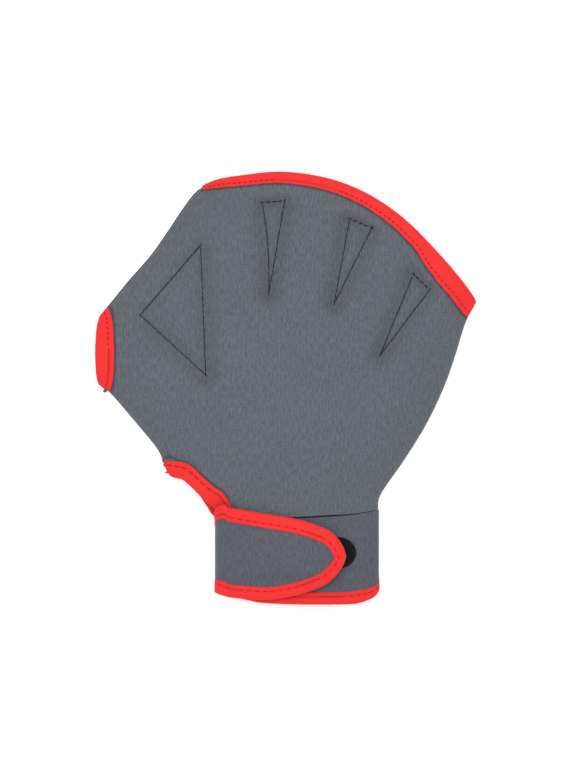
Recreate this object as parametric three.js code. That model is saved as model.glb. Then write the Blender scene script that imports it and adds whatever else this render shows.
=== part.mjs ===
// Swim glove for the left hand with webbed fingers, lying on a table with its palm up.
// Two cloth panels are joined along their sides and stay open at the fingers, at the thumb,
// at the wrist and along a slit above the wrist. Tape binds every free edge. A wrist band
// is joined on below the panels, and its strap wraps round the left side over the front.
// Millimetres, +Z up, +Y towards the fingers, +X away from the thumb.
// The origin is on the flat underside of the back panel, below the middle of the palm.
import * as THREE from 'three';

// Sizes of the whole glove
const span = 202.5; // thumb opening to the far end of the finger edge
const length = 181.8; // wrist seam to the top of the finger edge
const wristWidth = 87; // flat width of the wrist band
const bandHeight = 47.2; // wrist seam to the hem of the band
const strapReach = 69.9; // left fold of the band to the tip of the strap

// Cloth and trim
const wall = 2; // thickness of the cloth
const boundWall = 1.2; // the cloth under the tape, on the side that lies on the table
const tapeWidth = 7.2;
const tapeThickness = 0.8;
const patchThickness = 1;
const clearance = 0.3; // gap between pieces that touch
const tapeGap = 0.4; // gap between tape and the cloth that it folds over
const seamGap = 0.45; // gap between the panels' lower edges and the band
const layerGap = 0.4; // gap between the two panels where stitches hold them together

// Fullness of the two panels
const seamHeight = 1.6 * wall; // side seams above the table
const lipWidth = 2.1 * wall; // width of the rounded edge along a side seam
const palmSwell = 7.4; // rise of the palm above the rounded edges
const swellReach = 7.5; // distance from a side seam over which the palm rises
const backLift = 2.6; // how far stitches lift the back panel
const stitchReach = 5; // how far from a line of stitches the cloth dips
const webFullness = 0.4; // part of the rise that is left inside a stitched web
const backOverlap = 1.4; // how far the back shows past the palm at the thumb opening
const stitchStart = 1.2 * tapeWidth; // from the finger edge to where stitches draw the cloth in
const turnReach = 1.5 * tapeWidth; // how gently the lines beside a panel's edge turn its corners
const bandTurnReach = 1.2 * tapeWidth; // the same round the strap's tip
const letInMargin = 0.1; // past the tape, before the cloth starts to rise to its full height
const slopeStep = 0.25 * wall; // step over which the cloth's slope is taken

// Sizes of the patches, the strap's fold and the hidden end of the band
const patchHeight = 18;
const hookHeight = 15;
const loopLength = 48;
const hookLength = 36;
const strapRise = 4.8; // the strap's top edge above the wrist seam, at the left fold
const hiddenEnd = 7; // from the left fold to the hidden end of the band's front
const riseStart = 1.4; // where the strap's edge leaves the seam, in radii of its fold
const tapeStart = 1.6; // where tape starts on the strap's top edge, in radii of its fold
const loopShows = 5; // how far the loop patch shows past the strap's tip
const loopDrop = 0.42; // middle of the loop patch below the seam, share of the band height
const hookDrop = 0.45; // the same for the hook patch

// Shares of the length and of the wrist width that place the glove's corners
const originShare = 0.379; // of the length, from the wrist seam up to the origin
const tapeSpace = tapeThickness + tapeGap; // from the cloth to the outside of its tape

// Corner points: x as a share of the size named beside it, y as a share of the length
const corners = {
  fingerLeft: corner(-0.2467, span, 0.9592),
  fingerRight: corner(0.4679, span, 0.6195),
  thumbTop: corner(-0.5164, span, 0.5802),
  thumbBottom: corner(-0.5216, span, 0.3819),
  slitTop: corner(-0.3305, span, 0.1137),
  wristLeftPalm: corner(-0.4368, wristWidth, -0.0044),
  wristLeftBack: corner(-0.5, wristWidth, -0.0044),
  wristRight: corner(0.4954, wristWidth, 0.016),
};

// Bulges of each edge between two corners, walked anticlockwise.
// Columns: along the straight line between the corners and out from it, as shares of it.
const sideBulges = [
  { along: 0.029, out: -0.0159 },
  { along: 0.085, out: -0.0185 },
  { along: 0.243, out: 0.0086 },
  { along: 0.425, out: 0.0295 },
  { along: 0.601, out: 0.0307 },
  { along: 0.749, out: 0.0166 },
  { along: 0.876, out: -0.0019 },
  { along: 0.933, out: -0.0045 },
];
const fingerBulges = [
  { along: 0.069, out: 0.0404 },
  { along: 0.181, out: 0.0991 },
  { along: 0.325, out: 0.1615 },
  { along: 0.455, out: 0.1905 },
  { along: 0.574, out: 0.194 },
  { along: 0.684, out: 0.1755 },
  { along: 0.786, out: 0.1395 },
  { along: 0.882, out: 0.0838 },
  { along: 0.951, out: 0.04 },
];
const upperBulges = [
  { along: 0.085, out: 0.0098 },
  { along: 0.175, out: 0.0074 },
  { along: 0.348, out: -0.0068 },
  { along: 0.526, out: -0.0164 },
  { along: 0.718, out: -0.007 },
  { along: 0.908, out: -0.0042 },
];
const thumbBulges = [
  { along: 0.2, out: 0.022 },
  { along: 0.5, out: 0.034 },
  { along: 0.8, out: 0.022 },
];
const lowerBulges = [
  { along: 0.059, out: -0.0129 },
  { along: 0.136, out: -0.0338 },
  { along: 0.407, out: -0.0468 },
  { along: 0.739, out: -0.0548 },
  { along: 0.876, out: -0.0221 },
  { along: 0.949, out: 0.0029 },
];
const slitBulgesPalm = [
  { along: 0.07, out: -0.04 },
  { along: 0.16, out: -0.075 },
  { along: 0.3, out: -0.08 },
  { along: 0.48, out: -0.062 },
  { along: 0.7, out: -0.04 },
  { along: 0.86, out: -0.02 },
];
const slitBulgesBack = [
  { along: 0.08, out: -0.06 },
  { along: 0.17, out: -0.1 },
  { along: 0.35, out: -0.125 },
  { along: 0.53, out: -0.115 },
  { along: 0.75, out: -0.07 },
  { along: 0.9, out: -0.03 },
];
const wristBulges = [
  { along: 0.41, out: 0.0226 },
  { along: 0.68, out: 0.0216 },
  { along: 0.82, out: 0.0206 },
  { along: 0.91, out: 0.0129 },
];

// Stitched webs: x as a share of the span, y as a share of the length
const webs = {
  thumb: [corner(-0.252, span, 0.7872), corner(-0.4103, span, 0.5831), corner(-0.2389, span, 0.4082)],
  first: [corner(-0.091, span, 0.9117), corner(-0.0321, span, 0.916), corner(-0.074, span, 0.6443)],
  second: [corner(0.1381, span, 0.8644), corner(0.1965, span, 0.8367), corner(0.0975, span, 0.6166)],
  third: [corner(0.3046, span, 0.7026), corner(0.3475, span, 0.6569), corner(0.2182, span, 0.4665)],
};

// Width of the finger edge's tape on the palm, from its right end to its left end
const fingerTape = [
  { along: 0, share: 1.26 },
  { along: 0.12, share: 1.28 },
  { along: 0.18, share: 1.2 },
  { along: 0.27, share: 0.92 },
  { along: 0.35, share: 0.85 },
  { along: 0.6, share: 0.76 },
  { along: 0.9, share: 0.6 },
  { along: 0.96, share: 0.42 },
  { along: 1, share: 0.2 },
];

// Hem of the band: x as a share of half the wrist width, drop as a share of the band height
const hem = [
  { across: -1, drop: 0.885 },
  { across: -0.83, drop: 0.918 },
  { across: -0.62, drop: 0.95 },
  { across: -0.43, drop: 0.983 },
  { across: 0, drop: 1 },
  { across: 0.6, drop: 1 },
  { across: 0.787, drop: 0.983 },
  { across: 0.932, drop: 0.935 },
  { across: 1, drop: 0.86 },
];

// Strap: along as a share of its reach, drops below the wrist seam as shares of the band height
const strap = [
  { along: 0, top: -0.09, bottom: 0.89 },
  { along: 0.053, top: -0.09, bottom: 0.921 },
  { along: 0.235, top: -0.045, bottom: 0.944 },
  { along: 0.417, top: 0, bottom: 0.955 },
  { along: 0.6, top: 0.045, bottom: 0.903 },
  { along: 0.721, top: 0.09, bottom: 0.842 },
  { along: 0.842, top: 0.157, bottom: 0.764 },
  { along: 0.903, top: 0.213, bottom: 0.685 },
  { along: 0.964, top: 0.33, bottom: 0.6 },
];

// Cells of the meshes along each edge
const rimShares = [0, 1 / 6, 1 / 2, 1]; // lines beside an edge, as shares of the tape width
const cells = { finger: 14, thumb: 3, slit: 1, upper: 8, lower: 5 };
const bandCells = { front: 8, fold: 6, back: 8, strap: 9 };
const skipped = 2; // stations without tape at each end of a panel's edge
const patchCells = 9;
const patchRows = [-1, -0.4, 0.4, 1]; // lines along a patch, as shares of half its height
const patchBluntness = 0.06; // of the rounded end of a patch, in radii
const bandRim = 0.3; // widest rim beside the band's edges, as a share of its height
const radiusTurns = 8; // turns in which the radius of the strap's fold settles
const roomMargin = 1.3 * clearance; // between two layers' tapes inside the glove

// Colours and finishes
const greyCloth = { color: 0x676e75, roughness: 0.85, metalness: 0 };
const darkCloth = { color: 0x5b5f68, roughness: 0.85, metalness: 0 };
const redTape = { color: 0xfa3b38, roughness: 0.75, metalness: 0 };
const blackPile = { color: 0x131018, roughness: 0.95, metalness: 0 };

// Small helpers

function corner(share, width, rise) {
  return new THREE.Vector2(share * width, (rise - originShare) * length);
}

function smooth(t) {
  const c = THREE.MathUtils.clamp(t, 0, 1);
  return c * c * (3 - 2 * c);
}

// Value of a column of a table at a place, straight between its rows
function read(table, key, column, place) {
  const next = table.findIndex((row) => row[key] >= place);
  if (next < 0) return table[table.length - 1][column];
  if (next === 0) return table[0][column];
  const before = table[next - 1];
  const after = table[next];
  const share = (place - before[key]) / (after[key] - before[key]);
  return before[column] + share * (after[column] - before[column]);
}

// Nearest point of a segment to a point
function nearestOnSegment(p, a, b) {
  const run = b.clone().sub(a);
  const share = THREE.MathUtils.clamp(p.clone().sub(a).dot(run) / run.lengthSq(), 0, 1);
  return a.clone().addScaledVector(run, share);
}

// Nearest point of a line of points, and its distance
function nearestOnLine(p, line) {
  let best = { distance: Infinity, point: line[0] };
  for (let i = 1; i < line.length; i += 1) {
    const point = nearestOnSegment(p, line[i - 1], line[i]);
    const distance = point.distanceTo(p);
    if (distance < best.distance) best = { distance, point };
  }
  return best;
}

function nearestOnLines(p, lines) {
  const finds = lines.map((line) => nearestOnLine(p, line));
  return finds.reduce((a, b) => (b.distance < a.distance ? b : a));
}

// Outline of a panel

// Smooth curve between two corners, through the bulges and drawn in by an allowance
function edgeCurve(from, to, bulges, allowance = 0) {
  const run = to.clone().sub(from);
  const out = new THREE.Vector2(run.y, -run.x).normalize();
  const points = bulges.map(({ along, out: share }) => {
    const inwards = allowance * smooth(3 * Math.min(along, 1 - along));
    const bulge = share * run.length() - inwards;
    return from.clone().addScaledVector(run, along).addScaledVector(out, bulge);
  });
  return new THREE.SplineCurve([from, ...points, to]);
}

// Points of a curve at even steps, with the rim lines' steps first at each end that is bound
function stations(curve, count, bindStart, bindEnd) {
  const total = curve.getLength();
  const rim = rimShares.map((share) => share * tapeWidth);
  const first = bindStart ? rim : [0];
  const last = bindEnd ? rim.map((step) => total - step).reverse() : [total];
  const low = first[first.length - 1];
  const high = last[0];
  const inner = [];
  for (let i = 1; i < count; i += 1) inner.push(low + ((high - low) * i) / count);
  return [...first, ...inner, ...last].map((step) => curve.getPointAt(step / total));
}

// Directions into the shape at each point of a closed or open line, turned gently at corners
function inwardDirections(points, closed, reach) {
  const count = points.length;
  const pairs = closed ? count : count - 1;
  const segments = [];
  for (let i = 0; i < pairs; i += 1) {
    const a = points[i];
    const b = points[(i + 1) % count];
    const run = b.clone().sub(a);
    const middle = a.clone().add(b).multiplyScalar(0.5);
    const size = run.length();
    segments.push({ middle, size, left: new THREE.Vector2(-run.y, run.x).divideScalar(size) });
  }
  return points.map((p) => {
    const sum = new THREE.Vector2();
    for (const { middle, size, left } of segments) {
      const near = Math.max(0, 1 - middle.distanceTo(p) / (reach + size / 2));
      sum.addScaledVector(left, size * near);
    }
    return sum.normalize();
  });
}

function outlineOf(side) {
  const isBack = side === 'back';
  const c = corners;
  const wristLeft = isBack ? c.wristLeftBack : c.wristLeftPalm;
  const thumbAllowance = isBack ? tapeSpace - backOverlap : tapeSpace;
  const slitBulges = isBack ? slitBulgesBack : slitBulgesPalm;
  const curves = {
    right: edgeCurve(c.wristRight, c.fingerRight, sideBulges),
    finger: edgeCurve(c.fingerRight, c.fingerLeft, fingerBulges, tapeSpace),
    upper: edgeCurve(c.fingerLeft, c.thumbTop, upperBulges),
    thumb: edgeCurve(c.thumbTop, c.thumbBottom, thumbBulges, thumbAllowance),
    lower: edgeCurve(c.thumbBottom, c.slitTop, lowerBulges),
    slit: edgeCurve(c.slitTop, wristLeft, slitBulges, 0),
    wrist: edgeCurve(wristLeft, c.wristRight, wristBulges),
  };
  const boundSteps = rimShares.length - 1;
  const acrossCells = cells.finger + 2 * boundSteps;
  const thumbCells = cells.thumb + 2 * boundSteps;
  const slitCells = cells.slit + 2 * boundSteps;
  const upCells = cells.upper + thumbCells + cells.lower + slitCells;
  return {
    acrossCells,
    upCells,
    edges: {
      right: stations(curves.right, upCells, false, false),
      finger: stations(curves.finger, cells.finger, true, true),
      upper: stations(curves.upper, cells.upper, false, false),
      thumb: stations(curves.thumb, cells.thumb, true, true),
      lower: stations(curves.lower, cells.lower, false, false),
      slit: stations(curves.slit, cells.slit, true, true),
      wrist: stations(curves.wrist, acrossCells, false, false),
    },
  };
}

const outlines = { palm: outlineOf('palm'), back: outlineOf('back') };

// Form of the two panels

const seamLevel = -originShare * length; // wrist seam, along y
const halfWrist = wristWidth / 2;
const foldTop = new THREE.Vector2(-halfWrist, corners.wristLeftBack.y);
const foldBottom = new THREE.Vector2(-halfWrist, seamLevel - bandHeight);
const rightFoldTop = new THREE.Vector2(halfWrist, corners.wristRight.y);
const rightFoldBottom = new THREE.Vector2(halfWrist, seamLevel - bandHeight);

// Lines along which palm and back come together
const sideLines = [
  [...outlines.palm.edges.right].reverse().concat([rightFoldTop, rightFoldBottom]),
  outlines.palm.edges.upper,
  outlines.palm.edges.lower,
  [foldTop, foldBottom],
];
const boundLines = {
  palm: [outlines.palm.edges.finger, outlines.palm.edges.thumb, outlines.palm.edges.slit],
  back: [outlines.back.edges.finger, outlines.back.edges.thumb, outlines.back.edges.slit],
};

function insideWeb(p, web) {
  const turns = web.map((a, i) => {
    const b = web[(i + 1) % web.length];
    return (b.x - a.x) * (p.y - a.y) - (b.y - a.y) * (p.x - a.x) > 0;
  });
  return turns.every((turn) => turn === turns[0]);
}

// Fullness left by the stitched webs: 0 on a line of stitches, 1 away from all of them
function fullness(p) {
  let full = 1;
  for (const web of Object.values(webs)) {
    const { distance } = nearestOnLine(p, [...web, web[0]]);
    full *= 1 - Math.exp(-((distance / stitchReach) ** 2));
    if (insideWeb(p, web)) full *= webFullness;
  }
  const fromFingers = nearestOnLine(p, outlines.palm.edges.finger).distance;
  const held = smooth((fromFingers - stitchStart) / tapeWidth);
  return 1 - (1 - full) * held;
}

// Rise of the palm above its rounded edges, with its dips at the stitches
function palmRelief(p) {
  const { distance } = nearestOnLines(p, sideLines);
  const beyondLip = Math.max(0, distance - lipWidth);
  const rise = palmSwell * (1 - Math.exp(-beyondLip / swellReach));
  const lowest = backLift + 2 * wall + layerGap;
  const over = Math.max(0, 2 * seamHeight + rise - lowest);
  return rise - over * (1 - fullness(p));
}

function backRelief(p) {
  return backLift * (1 - fullness(p));
}

// Point and outward direction of a panel's outer face. Near a side seam its section is a
// quarter of an ellipse, and on top of that comes the relief.
function outerFace(side, p, outwards) {
  const up = side === 'palm' ? 1 : -1;
  const relief = side === 'palm' ? palmRelief : backRelief;
  const { distance, point } = nearestOnLines(p, sideLines);
  const away = distance > 0.001 ? point.clone().sub(p).normalize() : outwards;
  const level = Math.max(0, 1 - distance / lipWidth);
  const climb = Math.sqrt(1 - level * level);
  const seam = seamHeight + (up * clearance) / 2;
  const crown = side === 'palm' ? seamHeight : -seam;
  const z = seam + crown * climb + relief(p);
  const slopeX = (relief(new THREE.Vector2(p.x + slopeStep, p.y)) - relief(p)) / slopeStep;
  const slopeY = (relief(new THREE.Vector2(p.x, p.y + slopeStep)) - relief(p)) / slopeStep;
  const flat = level / lipWidth;
  const steep = climb / seamHeight;
  const scale = Math.hypot(flat, steep);
  const normal = new THREE.Vector3(
    (flat * away.x - up * steep * slopeX) / scale,
    (flat * away.y - up * steep * slopeY) / scale,
    (up * steep) / scale,
  ).normalize();
  return { point: new THREE.Vector3(p.x, p.y, z), normal };
}

// How much tape space the cloth gives way to: all of it under the tape, none further in
function pinch(distance) {
  return 1 - smooth((distance - tapeWidth - letInMargin) / (tapeWidth / 2));
}

// Outer and inner point of a panel. Where it lies on the table, tape is let into its face.
function panelPoint(side, p, outwards) {
  const { point, normal } = outerFace(side, p, outwards);
  const bound = nearestOnLines(p, boundLines[side]).distance;
  const letIn = side === 'back' ? pinch(bound) : 0;
  const outer = point.addScaledVector(normal, -tapeSpace * letIn);
  const thickness = wall - (wall - boundWall) * letIn;
  const inner = outer.clone().addScaledVector(normal, -thickness);
  return { outer, inner, normal };
}

// Meshes

class Solid {
  constructor() {
    this.positions = [];
    this.indices = [];
  }

  point(v) {
    this.positions.push(v.x, v.y, v.z);
    return this.positions.length / 3 - 1;
  }

  triangle(a, b, c) {
    this.indices.push(a, b, c);
  }

  quad(a, b, c, d) {
    this.triangle(a, b, c);
    this.triangle(a, c, d);
  }

  mesh(name, finish) {
    const geometry = new THREE.BufferGeometry();
    geometry.setAttribute('position', new THREE.Float32BufferAttribute(this.positions, 3));
    geometry.setIndex(this.indices);
    geometry.computeVertexNormals();
    const mesh = new THREE.Mesh(geometry, new THREE.MeshStandardMaterial(finish));
    mesh.name = name;
    return mesh;
  }
}

// Point of a patch that blends four edges: along is 0 to 1 left to right, up is 0 to 1
function blendEdges(edges, i, j, acrossCells, upCells) {
  const along = i / acrossCells;
  const up = j / upCells;
  const { bottom, top, left, right } = edges;
  const value = (axis) => {
    const ruled = (1 - up) * bottom[i][axis] + up * top[i][axis];
    const across = (1 - along) * left[j][axis] + along * right[j][axis];
    const low = (1 - along) * bottom[0][axis] + along * bottom[acrossCells][axis];
    const high = (1 - along) * top[0][axis] + along * top[acrossCells][axis];
    return ruled + across - (1 - up) * low - up * high;
  };
  return new THREE.Vector2(value('x'), value('y'));
}

// Rings of points that follow the outline inwards, with the directions they were drawn in
function ringsOf(side) {
  const { edges } = outlines[side];
  const order = ['right', 'finger', 'upper', 'thumb', 'lower', 'slit', 'wrist'];
  const loop = order.flatMap((name) => edges[name].slice(0, -1));
  const inwards = inwardDirections(loop, true, turnReach);
  const rings = rimShares.map((share) => {
    const step = share * tapeWidth;
    return loop.map((p, i) => p.clone().addScaledVector(inwards[i], step));
  });
  return { rings, inwards };
}

const ringSets = { palm: ringsOf('palm'), back: ringsOf('back') };

function panel(side) {
  const solid = new Solid();
  const { rings, inwards } = ringSets[side];
  const { acrossCells, upCells } = outlines[side];
  const count = inwards.length;
  const add = (p, outwards) => {
    const { outer, inner } = panelPoint(side, p, outwards);
    return { outer: solid.point(outer), inner: solid.point(inner) };
  };
  const face = (a, b, c, d) => {
    if (side === 'palm') {
      solid.quad(a.outer, b.outer, c.outer, d.outer);
      solid.quad(d.inner, c.inner, b.inner, a.inner);
    } else {
      solid.quad(d.outer, c.outer, b.outer, a.outer);
      solid.quad(a.inner, b.inner, c.inner, d.inner);
    }
  };
  const rims = rings.map((ring) => ring.map((p, i) => add(p, inwards[i].clone().negate())));

  // The innermost ring is the boundary of the blended patch: walk it from the wrist's right
  const last = rings[rings.length - 1];
  const at = (step) => (step + count) % count;
  const bottomStart = count - acrossCells;
  const edgeIndex = {
    bottom: (i) => at(bottomStart + i),
    right: (j) => at(j),
    top: (i) => at(upCells + acrossCells - i),
    left: (j) => at(2 * upCells + acrossCells - j),
  };
  const pick = (name, steps) =>
    Array.from({ length: steps + 1 }, (unused, k) => last[edgeIndex[name](k)]);
  const edges = {
    bottom: pick('bottom', acrossCells),
    top: pick('top', acrossCells),
    left: pick('left', upCells),
    right: pick('right', upCells),
  };
  const grid = [];
  for (let j = 0; j <= upCells; j += 1) {
    const row = [];
    for (let i = 0; i <= acrossCells; i += 1) {
      if (j === 0) row.push(rims[rings.length - 1][edgeIndex.bottom(i)]);
      else if (j === upCells) row.push(rims[rings.length - 1][edgeIndex.top(i)]);
      else if (i === 0) row.push(rims[rings.length - 1][edgeIndex.left(j)]);
      else if (i === acrossCells) row.push(rims[rings.length - 1][edgeIndex.right(j)]);
      else row.push(add(blendEdges(edges, i, j, acrossCells, upCells), null));
    }
    grid.push(row);
  }
  for (let j = 0; j < upCells; j += 1) {
    for (let i = 0; i < acrossCells; i += 1) {
      face(grid[j][i], grid[j][i + 1], grid[j + 1][i + 1], grid[j + 1][i]);
    }
  }

  // Rings, then the cut edge between the outer and the inner face
  for (let i = 0; i < count; i += 1) {
    const next = (i + 1) % count;
    for (let r = 0; r + 1 < rings.length; r += 1) {
      face(rims[r][i], rims[r][next], rims[r + 1][next], rims[r + 1][i]);
    }
    const a = rims[0][i];
    const b = rims[0][next];
    if (side === 'palm') solid.quad(a.inner, b.inner, b.outer, a.outer);
    else solid.quad(a.outer, b.outer, b.inner, a.inner);
  }
  return solid;
}

// Tape

// Section of a tape folded over an edge: fourteen points round a U. Each leg follows the
// cloth at its edge, at half of the tape's width and where the tape ends.
function tapeSection({ edge, half, end, outwards }) {
  const place = (cloth, face, lift, out) => cloth[face].clone()
    .addScaledVector(cloth.normal, lift).addScaledVector(outwards, out);
  return [
    place(end, 'outer', tapeSpace, 0),
    place(half, 'outer', tapeSpace, 0),
    place(edge, 'outer', tapeSpace, 0),
    place(edge, 'outer', tapeGap, tapeSpace),
    place(edge, 'inner', -tapeGap, tapeSpace),
    place(edge, 'inner', -tapeSpace, 0),
    place(half, 'inner', -tapeSpace, 0),
    place(end, 'inner', -tapeSpace, 0),
    place(end, 'inner', -tapeGap, 0),
    place(half, 'inner', -tapeGap, 0),
    place(edge, 'inner', -tapeGap, tapeGap),
    place(edge, 'outer', tapeGap, tapeGap),
    place(half, 'outer', tapeGap, 0),
    place(end, 'outer', tapeGap, 0),
  ];
}

// Sections joined into one solid. Where there is no room inside the glove, a section has
// only its outer leg: its first four points and its last three.
function tapeSolid(sections) {
  const solid = new Solid();
  const rows = sections.map(({ points, folded }) => ({
    ids: points.map((p) => solid.point(p)),
    folded,
  }));
  const whole = rows[0].ids.map((unused, k) => k);
  const outerLeg = [0, 1, 2, 3, 11, 12, 13];
  const legCap = [[0, 1, 12], [0, 12, 13], [1, 2, 11], [1, 11, 12], [2, 3, 11]];
  const innerCap = [
    [3, 4, 10], [3, 10, 11], [4, 5, 10], [5, 6, 9], [5, 9, 10], [6, 7, 8], [6, 8, 9],
  ];
  const cap = (ids, polygons, flip) => {
    for (const [a, b, c] of polygons) {
      if (flip) solid.triangle(ids[c], ids[b], ids[a]);
      else solid.triangle(ids[a], ids[b], ids[c]);
    }
  };
  const count = rows.length;
  for (let i = 0; i + 1 < count; i += 1) {
    const both = rows[i].folded && rows[i + 1].folded;
    const round = both ? whole : outerLeg;
    for (let k = 0; k < round.length; k += 1) {
      const a = round[k];
      const b = round[(k + 1) % round.length];
      solid.quad(rows[i].ids[a], rows[i].ids[b], rows[i + 1].ids[b], rows[i + 1].ids[a]);
    }
  }
  cap(rows[0].ids, legCap, true);
  cap(rows[count - 1].ids, legCap, false);
  for (let i = 0; i < count; i += 1) {
    const before = i > 0 && rows[i].folded && rows[i - 1].folded;
    const after = i + 1 < count && rows[i].folded && rows[i + 1].folded;
    if (after && !before) cap(rows[i].ids, innerCap, true);
    if (before && !after) cap(rows[i].ids, innerCap, false);
  }
  return solid;
}

// A solid whose faces point inwards is turned inside out
function facingOut(solid) {
  const p = (id) => new THREE.Vector3().fromArray(solid.positions, 3 * id);
  let volume = 0;
  for (let i = 0; i < solid.indices.length; i += 3) {
    const [a, b, c] = solid.indices.slice(i, i + 3).map(p);
    volume += a.dot(b.cross(c));
  }
  if (volume < 0) solid.indices.reverse();
  return solid;
}

// Whether both layers' tapes have room inside the glove at a place of its plan
function hasRoom(p) {
  const outwards = new THREE.Vector2(0, 1);
  const palm = outerFace('palm', p, outwards).point.z - wall;
  const back = outerFace('back', p, outwards).point.z + tapeSpace + boundWall;
  return palm - back > 2 * tapeSpace + roomMargin;
}

// Tape round one free edge of a panel, short of the rounded seam at both of its ends
function edgeTape(side, edgeName, widths) {
  const { edges } = outlines[side];
  const { inwards } = ringSets[side];
  const order = ['right', 'finger', 'upper', 'thumb', 'lower', 'slit', 'wrist'];
  const before = order.slice(0, order.indexOf(edgeName));
  const offset = before.reduce((sum, name) => sum + edges[name].length - 1, 0);
  const line = edges[edgeName];
  const last = line.length - 1;
  const sections = line.slice(skipped, -skipped).map((p, k) => {
    const i = k + skipped;
    const inward = inwards[(offset + i) % inwards.length];
    const outward = inward.clone().negate();
    const width = tapeWidth * read(widths, 'along', 'share', i / last);
    const inside = (share) => p.clone().addScaledVector(inward, share * width);
    const points = tapeSection({
      edge: panelPoint(side, p, outward),
      half: panelPoint(side, inside(0.5), outward),
      end: panelPoint(side, inside(1), outward),
      outwards: new THREE.Vector3(outward.x, outward.y, 0),
    });
    return { points, folded: hasRoom(p) && hasRoom(inside(1)) };
  });
  return facingOut(tapeSolid(sections));
}

// Wrist band

// Height of the palm's outer face across the wrist seam
function frontHeight(x) {
  const place = new THREE.Vector2(x, seamLevel - bandHeight / 2);
  return outerFace('palm', place, new THREE.Vector2(0, 1)).point.z - clearance / 2;
}

const strapLift = 4 * clearance + 2 * patchThickness + wall; // strap above the front's face

// Radius of the left fold, from the table up to the strap's face
function foldRadiusOf() {
  let radius = seamHeight + strapLift / 2;
  for (let turn = 0; turn < radiusTurns; turn += 1) {
    radius = (frontHeight(radius - halfWrist) + strapLift) / 2;
  }
  return radius;
}
const foldRadius = foldRadiusOf();
const strapEnd = strapReach - halfWrist - tapeSpace; // x of the strap's cloth tip

// Stations round the band's section, from its hidden front end to the strap's tip
function bandSection() {
  const frontStart = hiddenEnd - halfWrist;
  const frontEnd = halfWrist - lipWidth;
  const strapStart = foldRadius - halfWrist;
  const list = [];
  for (let i = 0; i < bandCells.front; i += 1) {
    const x = frontStart + ((frontEnd - frontStart) * i) / bandCells.front;
    list.push({ part: 'front', x, z: frontHeight(x) });
  }
  for (let i = 0; i < bandCells.fold; i += 1) {
    const angle = Math.PI / 2 - (Math.PI * i) / bandCells.fold;
    const x = frontEnd + lipWidth * Math.cos(angle);
    list.push({ part: 'rightFold', x, z: seamHeight * (1 + Math.sin(angle)) });
  }
  for (let i = 0; i < bandCells.back; i += 1) {
    const x = frontEnd + ((strapStart - frontEnd) * i) / bandCells.back;
    list.push({ part: 'back', x, z: 0 });
  }
  for (let i = 0; i < bandCells.fold; i += 1) {
    const angle = Math.PI / 2 + (Math.PI * i) / bandCells.fold;
    const x = strapStart - foldRadius * Math.sin(angle - Math.PI / 2);
    list.push({ part: 'leftFold', x, z: foldRadius * (1 - Math.cos(angle - Math.PI / 2)) });
  }
  for (let i = 0; i <= bandCells.strap; i += 1) {
    const x = strapStart + (strapEnd - strapStart) * Math.sin((Math.PI / 2) * (i / bandCells.strap));
    list.push({ part: 'strap', x, z: frontHeight(x) + strapLift });
  }
  let run = 0;
  list.forEach((station, i) => {
    const previous = list[Math.max(0, i - 1)];
    run += Math.hypot(station.x - previous.x, station.z - previous.z);
    station.run = run;
  });
  return list.map((station, i) => {
    const a = list[Math.max(0, i - 1)];
    const b = list[Math.min(list.length - 1, i + 1)];
    const tangent = new THREE.Vector3(b.x - a.x, 0, b.z - a.z).normalize();
    const normal = new THREE.Vector3(-tangent.z, 0, tangent.x);
    return { ...station, tangent, normal, ...bandEdges(station) };
  });
}

function seamY(line, x) {
  const sorted = [...line].sort((a, b) => a.x - b.x);
  return read(sorted, 'x', 'y', x);
}

// Top and bottom edge of the band's cloth at a station
function bandEdges({ part, x, z }) {
  const drop = (share) => seamLevel - share * bandHeight;
  const hemY = drop(read(hem, 'across', 'drop', x / halfWrist)) + tapeSpace;
  if (part === 'front' || part === 'rightFold') {
    return { top: seamY(outlines.palm.edges.wrist, x) - seamGap, bottom: hemY };
  }
  const along = (x + halfWrist) / strapReach;
  const strapTop = drop(read(strap, 'along', 'top', along)) - tapeSpace;
  const strapBottom = drop(read(strap, 'along', 'bottom', along)) + tapeSpace;
  const seam = seamY(outlines.back.edges.wrist, x) - seamGap;
  if (part === 'back') return { top: seam, bottom: hemY };
  if (part === 'leftFold') {
    const free = smooth((z / foldRadius - riseStart) / (2 - riseStart));
    const high = seamLevel + strapRise - tapeSpace;
    return { top: seam + free * (high - seam), bottom: Math.max(hemY, strapBottom) };
  }
  return { top: strapTop, bottom: strapBottom };
}

const band = bandSection();
const farFromHem = 2 * tapeWidth;

// Point of the band at a run along its section and a height, between two stations
function bandPoint(run, y, hemDistance) {
  const inside = THREE.MathUtils.clamp(run, 0, band[band.length - 1].run);
  const next = Math.max(1, band.findIndex((station) => station.run >= inside - 1e-9));
  const a = band[next - 1];
  const b = band[next];
  const share = (inside - a.run) / (b.run - a.run);
  const normal = a.normal.clone().lerp(b.normal, share).normalize();
  const tangent = a.tangent.clone().lerp(b.tangent, share).normalize();
  const beyond = run - inside;
  const point = new THREE.Vector3(
    a.x + share * (b.x - a.x) + beyond * tangent.x,
    y,
    a.z + share * (b.z - a.z) + beyond * tangent.z,
  );
  const letIn = Math.max(0, -normal.z) * pinch(hemDistance);
  const outer = point.addScaledVector(normal, -tapeSpace * letIn);
  const thickness = wall - (wall - boundWall) * letIn;
  const inner = outer.clone().addScaledVector(normal, -thickness);
  return { outer, inner, normal, tangent };
}

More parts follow.
